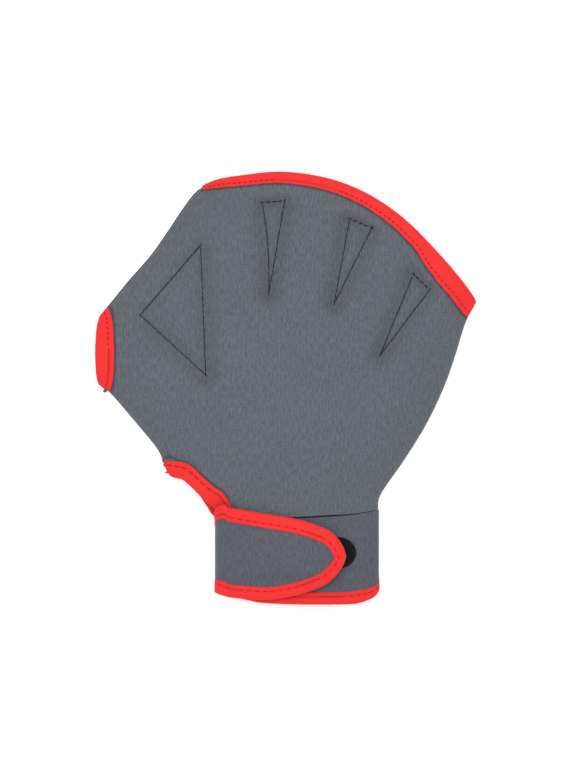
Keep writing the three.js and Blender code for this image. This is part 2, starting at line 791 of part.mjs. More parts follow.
function wristBand() {
  const solid = new Solid();
  const rows = band.map(({ run, top, bottom }) => {
    const tall = top - bottom;
    const rim = Math.min(tapeWidth, bandRim * tall);
    const heights = [0, rim, tall / 2, tall - rim, tall];
    return heights.map((height, k) => {
      const { outer, inner } = bandPoint(run, bottom + height, k > 1 ? farFromHem : 0);
      return { outer: solid.point(outer), inner: solid.point(inner) };
    });
  });
  const levels = rows[0].length - 1;
  for (let i = 0; i + 1 < rows.length; i += 1) {
    const a = rows[i];
    const b = rows[i + 1];
    for (let k = 0; k < levels; k += 1) {
      solid.quad(a[k].outer, b[k].outer, b[k + 1].outer, a[k + 1].outer);
      solid.quad(a[k + 1].inner, b[k + 1].inner, b[k].inner, a[k].inner);
    }
    solid.quad(a[0].inner, b[0].inner, b[0].outer, a[0].outer);
    solid.quad(a[levels].outer, b[levels].outer, b[levels].inner, a[levels].inner);
  }
  const first = rows[0];
  const last = rows[rows.length - 1];
  for (let k = 0; k < levels; k += 1) {
    solid.quad(first[k].outer, first[k + 1].outer, first[k + 1].inner, first[k].inner);
    solid.quad(last[k].inner, last[k + 1].inner, last[k + 1].outer, last[k].outer);
  }
  return facingOut(solid);
}

// Tape round the strap's top edge and tip, back along its bottom edge and along the hem
function bandTape() {
  const place = (station, y) => new THREE.Vector2(station.run, y);
  const above = new THREE.Vector2(0, 1);
  const strapSide = band.filter(({ part, z }) => part === 'strap'
    || (part === 'leftFold' && z > foldRadius * tapeStart));
  const topLine = strapSide.map((station) => place(station, station.top));
  const tip = band[band.length - 1];
  const tipMiddle = new THREE.Vector2(tip.run, (tip.top + tip.bottom) / 2);
  const bottomLine = [...band].reverse().map((station) => place(station, station.bottom));
  const line = [...topLine, tipMiddle, ...bottomLine];
  const parts = [...strapSide, tip, ...[...band].reverse()].map(({ part }) => part);
  const turned = inwardDirections(line, false, bandTurnReach).map((left) => left.negate());
  const sections = line.map((p, i) => {
    const onTop = i < topLine.length;
    const upright = onTop ? above.clone().negate() : above;
    const inward = parts[i] === 'strap' ? turned[i] : upright;
    const inside = (share) => p.clone().addScaledVector(inward, share * tapeWidth);
    const clothAt = ({ x, y }) => bandPoint(x, y, onTop ? farFromHem : 0);
    const edge = clothAt(p);
    const outwards = edge.tangent.clone().multiplyScalar(-inward.x);
    outwards.y = -inward.y;
    const onStrap = i < topLine.length + 1 + strapSide.length;
    const plan = new THREE.Vector2(edge.outer.x, edge.outer.y);
    const inLeftFold = edge.outer.x < foldRadius - halfWrist;
    const points = tapeSection({
      edge,
      half: clothAt(inside(0.5)),
      end: clothAt(inside(1)),
      outwards,
    });
    return { points, folded: onStrap || inLeftFold || hasRoom(plan) };
  });
  return facingOut(tapeSolid(sections));
}

// Patches

// Flat patch that follows the front of the band at a lift, with a rounded right end
function patch(left, right, middle, height, lift) {
  const solid = new Solid();
  const radius = height / 2;
  const rows = [];
  for (let i = 0; i <= patchCells; i += 1) {
    const x = left + (right - left) * Math.sin((Math.PI / 2) * (i / patchCells));
    const fromEnd = THREE.MathUtils.clamp((right - x) / radius, patchBluntness, 1);
    const half = radius * Math.sqrt(1 - (1 - fromEnd) ** 2);
    const row = patchRows.map((side) => {
      const y = middle + side * half;
      const z = frontHeight(x) + lift;
      return {
        low: solid.point(new THREE.Vector3(x, y, z)),
        high: solid.point(new THREE.Vector3(x, y, z + patchThickness)),
      };
    });
    rows.push(row);
  }
  const levels = rows[0].length - 1;
  for (let i = 0; i < patchCells; i += 1) {
    const a = rows[i];
    const b = rows[i + 1];
    for (let k = 0; k < levels; k += 1) {
      solid.quad(a[k].high, b[k].high, b[k + 1].high, a[k + 1].high);
      solid.quad(a[k + 1].low, b[k + 1].low, b[k].low, a[k].low);
    }
    solid.quad(a[0].low, b[0].low, b[0].high, a[0].high);
    solid.quad(a[levels].high, b[levels].high, b[levels].low, a[levels].low);
  }
  const first = rows[0];
  const last = rows[patchCells];
  for (let k = 0; k < levels; k += 1) {
    solid.quad(first[k].high, first[k + 1].high, first[k + 1].low, first[k].low);
    solid.quad(last[k].low, last[k + 1].low, last[k + 1].high, last[k].high);
  }
  return facingOut(solid);
}

const patchMiddle = seamLevel - loopDrop * bandHeight;
const hookMiddle = seamLevel - hookDrop * bandHeight;
const patchTip = strapReach - halfWrist + loopShows;
const hookTip = strapReach - halfWrist - tapeSpace - 2 * tapeWidth;
const even = [{ along: 0, share: 1 }, { along: 1, share: 1 }];

const glove = new THREE.Group();
const add = (name, solid, finish) => glove.add(solid.mesh(name, finish));

add('palm_panel', facingOut(panel('palm')), greyCloth);
add('back_panel', facingOut(panel('back')), greyCloth);
add('finger_binding_palm', edgeTape('palm', 'finger', fingerTape), redTape);
add('finger_binding_back', edgeTape('back', 'finger', even), redTape);
add('thumb_binding_palm', edgeTape('palm', 'thumb', even), redTape);
add('thumb_binding_back', edgeTape('back', 'thumb', even), redTape);
add('slit_binding_palm', edgeTape('palm', 'slit', even), redTape);
add('slit_binding_back', edgeTape('back', 'slit', even), redTape);
add('wrist_band', wristBand(), darkCloth);
add('band_binding', bandTape(), redTape);
add('loop_patch', patch(patchTip - loopLength, patchTip, patchMiddle, patchHeight, clearance), blackPile);
const hookLift = 2 * clearance + patchThickness;
add('hook_patch', patch(hookTip - hookLength, hookTip, hookMiddle, hookHeight, hookLift), blackPile);

export default glove;
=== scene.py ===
import math

import bpy
import numpy as np
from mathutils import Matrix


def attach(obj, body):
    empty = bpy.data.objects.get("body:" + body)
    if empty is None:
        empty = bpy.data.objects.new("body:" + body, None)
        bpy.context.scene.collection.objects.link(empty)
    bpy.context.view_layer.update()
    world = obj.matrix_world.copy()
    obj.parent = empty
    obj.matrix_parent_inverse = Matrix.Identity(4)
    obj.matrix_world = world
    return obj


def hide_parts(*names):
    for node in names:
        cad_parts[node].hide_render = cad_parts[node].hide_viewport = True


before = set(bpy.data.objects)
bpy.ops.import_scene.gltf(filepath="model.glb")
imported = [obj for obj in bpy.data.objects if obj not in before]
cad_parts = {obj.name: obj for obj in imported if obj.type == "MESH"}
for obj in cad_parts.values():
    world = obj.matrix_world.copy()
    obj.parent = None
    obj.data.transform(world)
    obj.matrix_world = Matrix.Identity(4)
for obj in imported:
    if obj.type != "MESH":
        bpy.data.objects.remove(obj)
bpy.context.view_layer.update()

# Webbed swim glove, left hand, palm up. All shapes are worked out in millimetres in the
# CAD model's frame: +Z up out of the palm, +Y to the fingers, +X away from the thumb.

gloveSize = {
    "span": 202.5,  # thumb opening to the far end of the finger edge
    "length": 181.8,  # wrist seam to the top of the finger edge
    "wristWidth": 87.0,  # flat width of the wrist band
    "bandHeight": 47.2,  # wrist seam to the band's hem
    "strapReach": 69.9,  # left fold of the band to the strap's tip
    "originShare": 0.379,  # of the length, from the wrist seam up to the origin
}
clothForm = {
    "wall": 2.0,  # neoprene with its two knit faces
    "boundWall": 1.2,  # pressed under tape where the glove lies on the table
    "tapeWidth": 7.2,
    "tapeInset": 1.2,  # cloth edge to the outside of its tape
    "tapeLift": 0.9,  # tape above the cloth
    "panelGap": 0.06,  # between the two panels at a side seam
    "seamGap": 0.3,  # between a panel and the band
    "seamHeight": 3.2,
    "lipWidth": 4.2,
    "palmSwell": 7.4,
    "swellReach": 7.5,
    "backLift": 2.6,
    "lowest": 7.8,  # palm's least height, where stitches hold both panels together
    "stitchReach": 5.6,
    "webFullness": 0.5,
    "stitchStart": 8.64,
    "thumbInset": {"palm": 0.6, "back": -0.1},  # of the cloth at the thumb opening
    "grooveDepth": 0.4,  # narrow groove that each row of stitches draws into the palm
    "grooveReach": 1.0,
    "puckerDepth": 0.1,
    "puckerPitch": 3.4,
    "puckerReach": 2.4,
    "domeMiddle": (-12.0, 8.0),  # where the palm is fullest
    "domeReach": 95.0,
    "domeRise": 0.5,
    "domeDrop": 1.2,  # from the fullest place to the reach
    "tapePress": 0.35,  # how far a tape's inner edge presses into the palm
    "pressFrom": 0.6,  # before the edge, where the pressing is full
    "pressReach": 3.2,
    "slackWaves": ((0.16, 11.0, 19.0), (0.12, 8.5, 27.0)),  # height, length and cross length
    "fineFade": 6.0,  # from the lip, where the fine relief is full
    "slopeStep": 0.4,  # for the relief's slopes
}

seamLevel = -gloveSize["originShare"] * gloveSize["length"]
halfWrist = gloveSize["wristWidth"] / 2


def corner(share, size, rise):
    # Corner as shares: x of a named size, y of the length up from the wrist seam
    return np.array([share * gloveSize[size], (rise - gloveSize["originShare"]) * gloveSize["length"]])


corners = {
    "fingerLeft": corner(-0.2467, "span", 0.9592),
    "fingerRight": corner(0.4679, "span", 0.6195),
    "thumbTop": corner(-0.5164, "span", 0.5802),
    "thumbBottom": corner(-0.5188, "span", 0.3819),
    "slitTop": corner(-0.3305, "span", 0.1137),
    "wristLeftPalm": corner(-0.4368, "wristWidth", -0.0044),
    "wristLeftBack": corner(-0.5, "wristWidth", -0.0044),
    "wristRight": corner(0.4954, "wristWidth", 0.016),
}

# Bulges of each edge, anticlockwise: share along the straight line, share out from it
edgeBulges = {
    "right": [(0.029, -0.0159), (0.085, -0.0185), (0.243, 0.0086), (0.425, 0.0295),
              (0.601, 0.0307), (0.749, 0.0166), (0.876, -0.0019), (0.933, -0.0045)],
    "finger": [(0.069, 0.0404), (0.181, 0.0991), (0.325, 0.1615), (0.455, 0.1905),
               (0.574, 0.194), (0.684, 0.1755), (0.786, 0.1395), (0.882, 0.0838), (0.951, 0.04)],
    "upper": [(0.085, 0.0098), (0.175, 0.0074), (0.348, -0.0068), (0.526, -0.0164),
              (0.718, -0.007), (0.908, -0.0042)],
    "thumb": [(0.2, 0.022), (0.5, 0.034), (0.8, 0.022)],
    "lower": [(0.059, -0.0129), (0.136, -0.0338), (0.407, -0.0468), (0.739, -0.0548),
              (0.876, -0.0221), (0.949, 0.0029)],
    "slitPalm": [(0.07, -0.045), (0.16, -0.085), (0.3, -0.085), (0.48, -0.062), (0.7, -0.035), (0.86, -0.015)],
    "slitBack": [(0.08, -0.07), (0.17, -0.12), (0.35, -0.135), (0.53, -0.122), (0.75, -0.075), (0.9, -0.03)],
    "wrist": [(0.41, 0.0226), (0.68, 0.0216), (0.82, 0.0206), (0.91, 0.0129)],
}

# Stitched webs between the finger channels, as corners in order
webCorners = {
    name: [corner(across, "span", rise) for across, rise in places] for name, places in {
        "thumbWeb": [(-0.252, 0.7872), (-0.4103, 0.5831), (-0.2389, 0.4082)],
        "firstWeb": [(-0.091, 0.9117), (-0.0321, 0.916), (-0.074, 0.6443)],
        "secondWeb": [(0.1381, 0.8644), (0.1965, 0.8367), (0.0975, 0.6166)],
        "thirdWeb": [(0.3046, 0.7026), (0.3475, 0.6569), (0.2182, 0.4665)],
    }.items()
}

# How far the sides of a web bend out to the right of their straight line, millimetres
webBows = {"thumbWeb": (0, 0, 0), "firstWeb": (0, 0, 1.4), "secondWeb": (0, 0, 0), "thirdWeb": (0, 0, 0)}

# Width of the palm's tapes along their edges, anticlockwise, shares of the tape width
palmTapeShares = {
    "finger": np.array([(0, 1.25), (0.05, 1.26), (0.12, 1.3), (0.18, 1.22), (0.25, 0.9), (0.35, 0.82),
                        (0.6, 0.73), (0.79, 0.66), (0.9, 0.6), (0.96, 0.46), (1, 0.25)]),
    "thumb": np.array([(0, 0.92), (0.2, 1.1), (0.5, 1.22), (0.8, 1.18), (1, 1.0)]),
    "slit": np.array([(0, 1.4), (0.08, 1.15), (0.35, 0.98), (0.6, 1.05), (0.74, 1.2), (0.86, 1.05), (1, 0.6)]),
}
# Drop of the band's hem in shares of its height, over x in half widths
hemTable = np.array([(-1, 0.88), (-0.83, 0.915), (-0.62, 0.95), (-0.43, 0.983), (0, 1), (0.6, 1),
                     (0.787, 0.983), (0.932, 0.932), (0.987, 0.876), (1, 0.83)])
# Drops of the strap's top and bottom edge, over the share of its reach
strapTable = np.array([(0, -0.11, 0.885), (0.053, -0.105, 0.91), (0.235, -0.06, 0.934), (0.417, -0.015, 0.945),
                       (0.6, 0.028, 0.905), (0.721, 0.073, 0.855), (0.842, 0.14, 0.782), (0.903, 0.197, 0.71),
                       (0.947, 0.268, 0.635), (0.979, 0.348, 0.56), (1.0, 0.45, 0.47)])
# Height of the inner edge of the hem's tape on the band's front, over x
hemInner = np.array([(-43.5, -108.9), (20.0, -109.6), (28.0, -109.3), (36.7, -108.1), (41.0, -107.0),
                     (43.5, -106.0)])

print("stage: sizes set")

# Lines and distances in plan


def smooth(t):
    c = np.clip(t, 0.0, 1.0)
    return c * c * (3.0 - 2.0 * c)


def unit(v):
    return v / np.maximum(np.linalg.norm(v, axis=-1, keepdims=True), 1e-9)


def splinePath(points, perGap=60):
    # Uniform cubic through the points: each gap bends with the points before and after it
    p = np.asarray(points, float)
    before = np.vstack([p[:1], p[:-2]])
    after = np.vstack([p[2:], p[-1:]])
    t = np.linspace(0.0, 1.0, perGap, endpoint=False)[None, :, None]
    a, b = p[:-1, None], p[1:, None]
    va, vb = (b - before[:, None]) / 2, (after[:, None] - a) / 2
    curve = (2 * a - 2 * b + va + vb) * t**3 + (-3 * a + 3 * b - 2 * va - vb) * t**2 + va * t + a
    return np.vstack([curve.reshape(-1, p.shape[1]), p[-1:]])


def runOf(path):
    # Length walked along the path up to each of its points
    return np.concatenate([[0.0], np.cumsum(np.linalg.norm(np.diff(path, axis=0), axis=1))])


def pointsAt(path, where):
    # Points of the path at walked lengths, straight between its own points
    run = runOf(path)
    return np.stack([np.interp(where, run, path[:, k]) for k in range(path.shape[1])], axis=-1)


def evenly(path, cells):
    return pointsAt(path, np.linspace(0.0, runOf(path)[-1], cells + 1))


def edgePath(start, end, bulges, allowance=0.0):
    # Straight line between two corners with bulges out to its right, drawn in by an allowance
    run = end - start
    size = np.linalg.norm(run)
    out = np.array([run[1], -run[0]]) / size
    along, share = np.array(bulges).T
    bulge = share * size - allowance * smooth(3 * np.minimum(along, 1 - along))
    middle = start + along[:, None] * run + bulge[:, None] * out
    return splinePath(np.vstack([start, middle, end]))


def outlineOf(side):
    c, b, inset = corners, edgeBulges, clothForm["tapeInset"]
    wristLeft = c["wristLeftPalm"] if side == "palm" else c["wristLeftBack"]
    thumbInset = clothForm["thumbInset"][side]
    slit = b["slitPalm"] if side == "palm" else b["slitBack"]
    return {
        "right": edgePath(c["wristRight"], c["fingerRight"], b["right"]),
        "finger": edgePath(c["fingerRight"], c["fingerLeft"], b["finger"], inset),
        "upper": edgePath(c["fingerLeft"], c["thumbTop"], b["upper"]),
        "thumb": edgePath(c["thumbTop"], c["thumbBottom"], b["thumb"], thumbInset),
        "lower": edgePath(c["thumbBottom"], c["slitTop"], b["lower"]),
        "slit": edgePath(c["slitTop"], wristLeft, slit),
        "wrist": edgePath(wristLeft, c["wristRight"], b["wrist"]),
    }


outlines = {"palm": outlineOf("palm"), "back": outlineOf("back")}


def segmentsOf(paths):
    # Starts, ends and walked starts of all the segments of several lines
    starts = np.vstack([p[:-1] for p in paths])
    ends = np.vstack([p[1:] for p in paths])
    walked = np.concatenate([runOf(p)[:-1] for p in paths])
    return starts, ends, walked


def nearest(plan, segments):
    # Distance from each plan point to the nearest segment, the foot of that distance, the
    # length walked to the foot, and the direction out to the right of the segment
    starts, ends, walked = segments
    runs = ends - starts
    sizes = np.maximum(np.linalg.norm(runs, axis=1), 1e-9)
    out = np.stack([runs[:, 1], -runs[:, 0]], axis=1) / sizes[:, None]
    found = []
    for chunk in np.array_split(plan, max(1, len(plan) // 6000)):
        rel = chunk[:, None, :] - starts
        share = np.clip((rel * runs).sum(2) / sizes**2, 0.0, 1.0)
        foot = starts + share[..., None] * runs
        far = ((chunk[:, None, :] - foot) ** 2).sum(2)
        pick = far.argmin(1)
        row = np.arange(len(chunk))
        found.append(np.column_stack([np.sqrt(far[row, pick]), foot[row, pick],
                                      walked[pick] + share[row, pick] * sizes[pick], out[pick]]))
    found = np.vstack(found)
    return found[:, 0], found[:, 1:3], found[:, 3], found[:, 4:6]


rightFold = np.array([[halfWrist, seamLevel - gloveSize["bandHeight"]], [halfWrist, corners["wristRight"][1]]])
leftFold = np.array([[-halfWrist, corners["wristLeftBack"][1]], [-halfWrist, seamLevel - gloveSize["bandHeight"]]])
sideSegments = segmentsOf([rightFold, evenly(outlines["palm"]["right"], 64), evenly(outlines["palm"]["upper"], 44),
                           evenly(outlines["palm"]["lower"], 34), leftFold])
tapedEdges = {"finger": 90, "thumb": 20, "slit": 20}  # segments along each
tapeSegments = {name: segmentsOf([evenly(outlines["palm"][name], cells)]) for name, cells in tapedEdges.items()}
backTapeSegments = segmentsOf([evenly(outlines["back"][name], cells) for name, cells in tapedEdges.items()])


def webSide(name, k, tail=0.0, cells=24):
    # One side of a web, bent as a half sine, with straight tails past both corners
    a, b = webCorners[name][k], webCorners[name][(k + 1) % 3]
    size = np.linalg.norm(b - a)
    ahead = (b - a) / size
    t = np.linspace(-tail / size, 1 + tail / size, cells + 1)[:, None]
    bow = webBows[name][k] * np.sin(np.pi * np.clip(t, 0.0, 1.0))
    return a + t * (b - a) + bow * np.array([ahead[1], -ahead[0]])


webSegments = {name: segmentsOf([webSide(name, k) for k in range(3)]) for name in webCorners}

# Form of the two panels


def insideWeb(plan, web):
    # On the same side of all three edges
    turns = []
    for k in range(3):
        a, b = web[k], web[(k + 1) % 3]
        turns.append((b[0] - a[0]) * (plan[:, 1] - a[1]) - (b[1] - a[1]) * (plan[:, 0] - a[0]) > 0)
    return (turns[0] == turns[1]) & (turns[1] == turns[2])


def fullness(plan):
    # 0 on a row of stitches and 1 far from all: one less a bell curve of the distance, lower
    # inside a web, and let go towards the finger edge
    full = np.ones(len(plan))
    for name, segments in webSegments.items():
        distance = nearest(plan, segments)[0]
        full *= 1 - np.exp(-((distance / clothForm["stitchReach"]) ** 2))
        full *= np.where(insideWeb(plan, webCorners[name]), clothForm["webFullness"], 1.0)
    held = smooth((nearest(plan, tapeSegments["finger"])[0] - clothForm["stitchStart"]) / clothForm["tapeWidth"])
    return 1 - (1 - full) * held


def stitchMarks(plan):
    # Narrow groove along each row of stitches, with a pucker for every stitch
    f = clothForm
    groove = np.zeros(len(plan))
    for segments in webSegments.values():
        distance, _, along, _ = nearest(plan, segments)
        wave = np.cos(2 * np.pi * along / f["puckerPitch"])
        pucker = f["puckerDepth"] * wave * np.exp(-((distance / f["puckerReach"]) ** 2))
        groove = np.maximum(groove, f["grooveDepth"] * np.exp(-((distance / f["grooveReach"]) ** 2)) + pucker)
    return groove


def pastTape(plan):
    # Distance past the inner edge of the nearest tape on the palm
    past = []
    for edge, segments in tapeSegments.items():
        distance, _, along, _ = nearest(plan, segments)
        share = along / runOf(outlines["palm"][edge])[-1]
        past.append(distance - clothForm["tapeWidth"] * np.interp(share, *palmTapeShares[edge].T))
    return np.min(past, axis=0)


def relief(side, plan, fine=True):
    # Palm: rise by one less an exponential of the distance from the side seams, lower away
    # from the palm's middle, pressed to a least height by the stitches. Back: lifted there.
    f = clothForm
    full = fullness(plan)
    if side == "back":
        return f["backLift"] * (1 - full)
    distance = nearest(plan, sideSegments)[0]
    beyond = np.maximum(0.0, distance - f["lipWidth"])
    fromMiddle = np.linalg.norm(plan - np.array(f["domeMiddle"]), axis=1)
    swell = f["palmSwell"] + f["domeRise"] - f["domeDrop"] * smooth(fromMiddle / f["domeReach"])
    rise = swell * (1 - np.exp(-beyond / f["swellReach"]))
    over = np.maximum(0.0, 2 * f["seamHeight"] + rise - f["lowest"])
    height = rise - over * (1 - full)
    if not fine:
        return height
    inside = smooth(beyond / f["fineFade"])
    x, y = plan.T
    (tall, length, cross), (low, short, wide) = f["slackWaves"]
    slack = tall * np.sin(x / length + 1.3 * np.sin(y / cross)) + low * np.sin(y / short + x / wide)
    dent = f["tapePress"] * (1 - smooth((pastTape(plan) + f["pressFrom"]) / f["pressReach"]))
    return height - inside * (stitchMarks(plan) + dent - slack)


def outerFace(side, plan, fine=True):
    # Quarter of an ellipse beside each side seam, with the relief on top; its normal leans
    # out by the ellipse and back by the relief's slopes
    f = clothForm
    up = 1.0 if side == "palm" else -1.0
    distance, foot, _, out = nearest(plan, sideSegments)
    away = np.where(distance[:, None] > 0.02, unit(foot - plan), out)
    level = np.maximum(0.0, 1 - distance / f["lipWidth"])
    climb = np.sqrt(1 - level**2)
    seam = f["seamHeight"] + up * f["panelGap"] / 2
    crown = f["seamHeight"] if side == "palm" else -seam
    here = relief(side, plan, fine)
    step = f["slopeStep"]
    slopeX = (relief(side, plan + np.array([step, 0]), fine) - here) / step
    slopeY = (relief(side, plan + np.array([0, step]), fine) - here) / step
    z = seam + crown * climb + here
    flat, steep = level / f["lipWidth"], climb / f["seamHeight"]
    normal = unit(np.column_stack([flat * away[:, 0] - up * steep * slopeX,
                                   flat * away[:, 1] - up * steep * slopeY, up * steep]))
    return np.column_stack([plan, z]), normal


def pinch(distance):
    # All of the tape's space under the tape, none of it further in
    width = clothForm["tapeWidth"]
    return 1 - smooth((distance - width - 0.1) / (width / 2))


def panelCloth(side):
    # Gives for plan points the outer face, its normal, the wall and the plan's x direction
    def surface(plan):
        point, normal = outerFace(side, plan)
        wall = np.full(len(plan), clothForm["wall"])
        if side == "back":
            letIn = pinch(nearest(plan, backTapeSegments)[0])
            point = point - clothForm["tapeLift"] * letIn[:, None] * normal
            wall -= (clothForm["wall"] - clothForm["boundWall"]) * letIn
        return point, normal, wall, np.tile([1.0, 0.0, 0.0], (len(plan), 1))
    return surface


# Meshes


def gridQuads(rows, columns, start=0):
    # Corner numbers of every cell of a grid whose points are numbered row by row
    k = start + np.arange(rows * columns).reshape(rows, columns)
    return np.stack([k[:-1, :-1], k[:-1, 1:], k[1:, 1:], k[1:, :-1]], axis=-1).reshape(-1, 4)


def facingOut(points, faces):
    # A closed shell whose signed volume is negative is turned inside out
    a, b, c, d = (points[faces[:, k]] for k in range(4))
    volume = (a * np.cross(b, c)).sum() + (a * np.cross(c, d)).sum()
    return faces if volume > 0 else faces[:, ::-1]


def meshPiece(name, points, faces, uv, material, paintedShade=None, sharpAngle=55, caps=()):
    # Points and uv in millimetres, one pair of uv per point, walked along the cloth; the painted
    # shade says where the cloth is drawn in and is painted darker as shade there
    mesh = bpy.data.meshes.new(name)
    mesh.from_pydata((points / 1000.0).tolist(), [], faces.tolist() + [list(c) for c in caps])
    mesh.polygons.foreach_set("use_smooth", np.ones(len(mesh.polygons), bool))
    loops = np.zeros(len(mesh.loops), np.int32)
    mesh.loops.foreach_get("vertex_index", loops)
    layer = mesh.uv_layers.new(name="cloth")
    layer.data.foreach_set("uv", (uv[loops] / 1000.0).astype(np.float32).ravel())
    if paintedShade is not None:
        mesh.attributes.new("paintedShade", "FLOAT", "POINT").data.foreach_set("value", paintedShade.astype(np.float32))
    mesh.set_sharp_from_angle(angle=math.radians(sharpAngle))
    mesh.validate()
    mesh.update()
    piece = bpy.data.objects.new(name, mesh)
    bpy.context.scene.collection.objects.link(piece)
    mesh.materials.append(material)
    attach(piece, "root")
    return piece


def shellPiece(name, node, outer, inner, uv, material, paintedShade):
    # Two grids of the same size, an outer and an inner face, closed by strips at the four
    # edges, in the place of a CAD node
    rows, columns = outer.shape[:2]
    count = rows * columns
    points = np.vstack([outer.reshape(-1, 3), inner.reshape(-1, 3)])
    k = np.arange(count).reshape(rows, columns)
    rim = np.concatenate([k[0, :], k[1:, -1], k[-1, -2::-1], k[-2:0:-1, 0]])
    after = np.roll(rim, -1)
    strip = np.column_stack([rim, rim + count, after + count, after])
    faces = np.vstack([gridQuads(rows, columns), gridQuads(rows, columns, count)[:, ::-1], strip])
    faces = facingOut(points, faces)
    flat = uv.reshape(-1, 2)
    piece = meshPiece(name, points, faces, np.vstack([flat, flat]), material,
                      paintedShade=np.concatenate([paintedShade.ravel(), paintedShade.ravel()]))
    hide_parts(node)
    return piece


# Materials


def linearColour(code):
    # sRGB hex to linear
    values = [int(code[k:k + 2], 16) / 255 for k in (1, 3, 5)]
    return [v / 12.92 if v <= 0.04045 else ((v + 0.055) / 1.055) ** 2.4 for v in values] + [1.0]


def addNode(tree, kind, values=None, links=None, **settings):
    # One node with its settings, its sockets' values and what is linked into them
    node = tree.nodes.new(kind)
    for key, value in settings.items():
        setattr(node, key, value)
    for key, value in (values or {}).items():
        node.inputs[key].default_value = value
    for key, socket in (links or {}).items():
        tree.links.new(socket, node.inputs[key])
    return node


waveScale = 0.314  # a wave node's scale for bands one metre apart, 2 pi / 20


def knitMaterial(name, look):
    # Knit face: rows of wales crossed by courses, yarn that varies, soft mottling, and a little
    # painted shade, darker where stitches or a tape's edge draw the cloth in
    material = bpy.data.materials.new(name)
    material.use_nodes = True
    tree = material.node_tree
    shader = tree.nodes["Principled BSDF"]
    place = addNode(tree, "ShaderNodeUVMap", uv_map="cloth").outputs["UV"]
    onCloth = {"Vector": place}
    yarn = addNode(tree, "ShaderNodeTexNoise",
                   {"Scale": 1 / look["yarnGrain"], "Detail": 3.0, "Roughness": 0.65}, onCloth)
    along = addNode(tree, "ShaderNodeMapping", {"Scale": (1.0, look["streak"], 1.0)}, onCloth)
    streaks = addNode(tree, "ShaderNodeTexNoise", {"Scale": 1 / look["wale"], "Detail": 2.0},
                      {"Vector": along.outputs[0]})
    mottle = addNode(tree, "ShaderNodeTexNoise", {"Scale": 1 / look["mottle"], "Detail": 2.0}, onCloth)
    wales, courses = (
        addNode(tree, "ShaderNodeTexWave",
                {"Scale": waveScale / look[spacing], "Distortion": uneven, "Detail": 2.0, "Detail Scale": 3.0},
                onCloth, wave_type="BANDS", bands_direction=direction)
        for spacing, direction, uneven in (("wale", "X", 3.0), ("course", "Y", 4.0)))
    knit = addNode(tree, "ShaderNodeMath", links={0: wales.outputs["Fac"], 1: courses.outputs["Fac"]},
                   operation="MULTIPLY")
    loops = addNode(tree, "ShaderNodeMath", {1: look["loopShare"]},
                    {0: knit.outputs[0], 2: streaks.outputs["Fac"]}, operation="MULTIPLY_ADD")
    grain = addNode(tree, "ShaderNodeMath", {1: look["yarnShare"]},
                    {0: yarn.outputs["Fac"], 2: loops.outputs[0]}, operation="MULTIPLY_ADD")
    half = addNode(tree, "ShaderNodeMath", {1: 0.5}, {0: grain.outputs[0]}, operation="MULTIPLY")
    ramp = addNode(tree, "ShaderNodeValToRGB", links={"Fac": half.outputs[0]})
    low, high = ramp.color_ramp.elements
    low.position, low.color = 0.3, linearColour(look["shadeColour"])
    high.position, high.color = 0.75, linearColour(look["faceColour"])
    depth = look["mottleDepth"]
    cloudy = addNode(tree, "ShaderNodeMapRange",
                     {"From Min": 0.3, "From Max": 0.7, "To Min": 1 - depth, "To Max": 1 + depth},
                     {"Value": mottle.outputs["Fac"]})
    # Painted shade: this attribute darkens the colour where stitches and tape edges draw the cloth in
    paintedShade = addNode(tree, "ShaderNodeAttribute", attribute_name="paintedShade")
    dark = addNode(tree, "ShaderNodeMath", {1: -look["paintedShadeDepth"], 2: 1.0}, {0: paintedShade.outputs["Fac"]},
                   operation="MULTIPLY_ADD")
    tone = addNode(tree, "ShaderNodeMath", links={0: cloudy.outputs[0], 1: dark.outputs[0]},
                   operation="MULTIPLY")
    colour = addNode(tree, "ShaderNodeVectorMath", links={0: ramp.outputs["Color"], 1: tone.outputs[0]},
                     operation="MULTIPLY")
    tree.links.new(colour.outputs[0], shader.inputs["Base Color"])
    bump = addNode(tree, "ShaderNodeBump", {"Strength": look["bump"], "Distance": look["bumpDepth"]},
                   {"Height": grain.outputs[0]})
    tree.links.new(bump.outputs["Normal"], shader.inputs["Normal"])
    shader.inputs["Roughness"].default_value = look["roughness"]
    shader.inputs["IOR"].default_value = 1.45
    shader.inputs["Specular IOR Level"].default_value = look["specular"]
    shader.inputs["Sheen Weight"].default_value = look["sheen"]
    shader.inputs["Sheen Roughness"].default_value = 0.45
    return material


def threadMaterial(name, dark, light, roughness, specular):
    # Twisted polyester: slanting bands for the plies 0.6 mm apart, and a soft shine
    material = bpy.data.materials.new(name)
    material.use_nodes = True
    tree = material.node_tree
    shader = tree.nodes["Principled BSDF"]
    place = addNode(tree, "ShaderNodeUVMap", uv_map="cloth").outputs["UV"]
    plies = addNode(tree, "ShaderNodeTexWave", {"Scale": waveScale / 0.0006, "Distortion": 0.4},
                    {"Vector": place}, wave_type="BANDS", bands_direction="DIAGONAL")
    tint = addNode(tree, "ShaderNodeMix", {"Factor": 0.5}, {"Factor": plies.outputs["Fac"]}, data_type="RGBA")
    tint.inputs["A"].default_value = linearColour(dark)
    tint.inputs["B"].default_value = linearColour(light)
    tree.links.new(tint.outputs["Result"], shader.inputs["Base Color"])
    bump = addNode(tree, "ShaderNodeBump", {"Strength": 0.4, "Distance": 0.0001},
                   {"Height": plies.outputs["Fac"]})
    tree.links.new(bump.outputs["Normal"], shader.inputs["Normal"])
    shader.inputs["Roughness"].default_value = roughness
    shader.inputs["IOR"].default_value = 1.5
    shader.inputs["Specular IOR Level"].default_value = specular
    return material


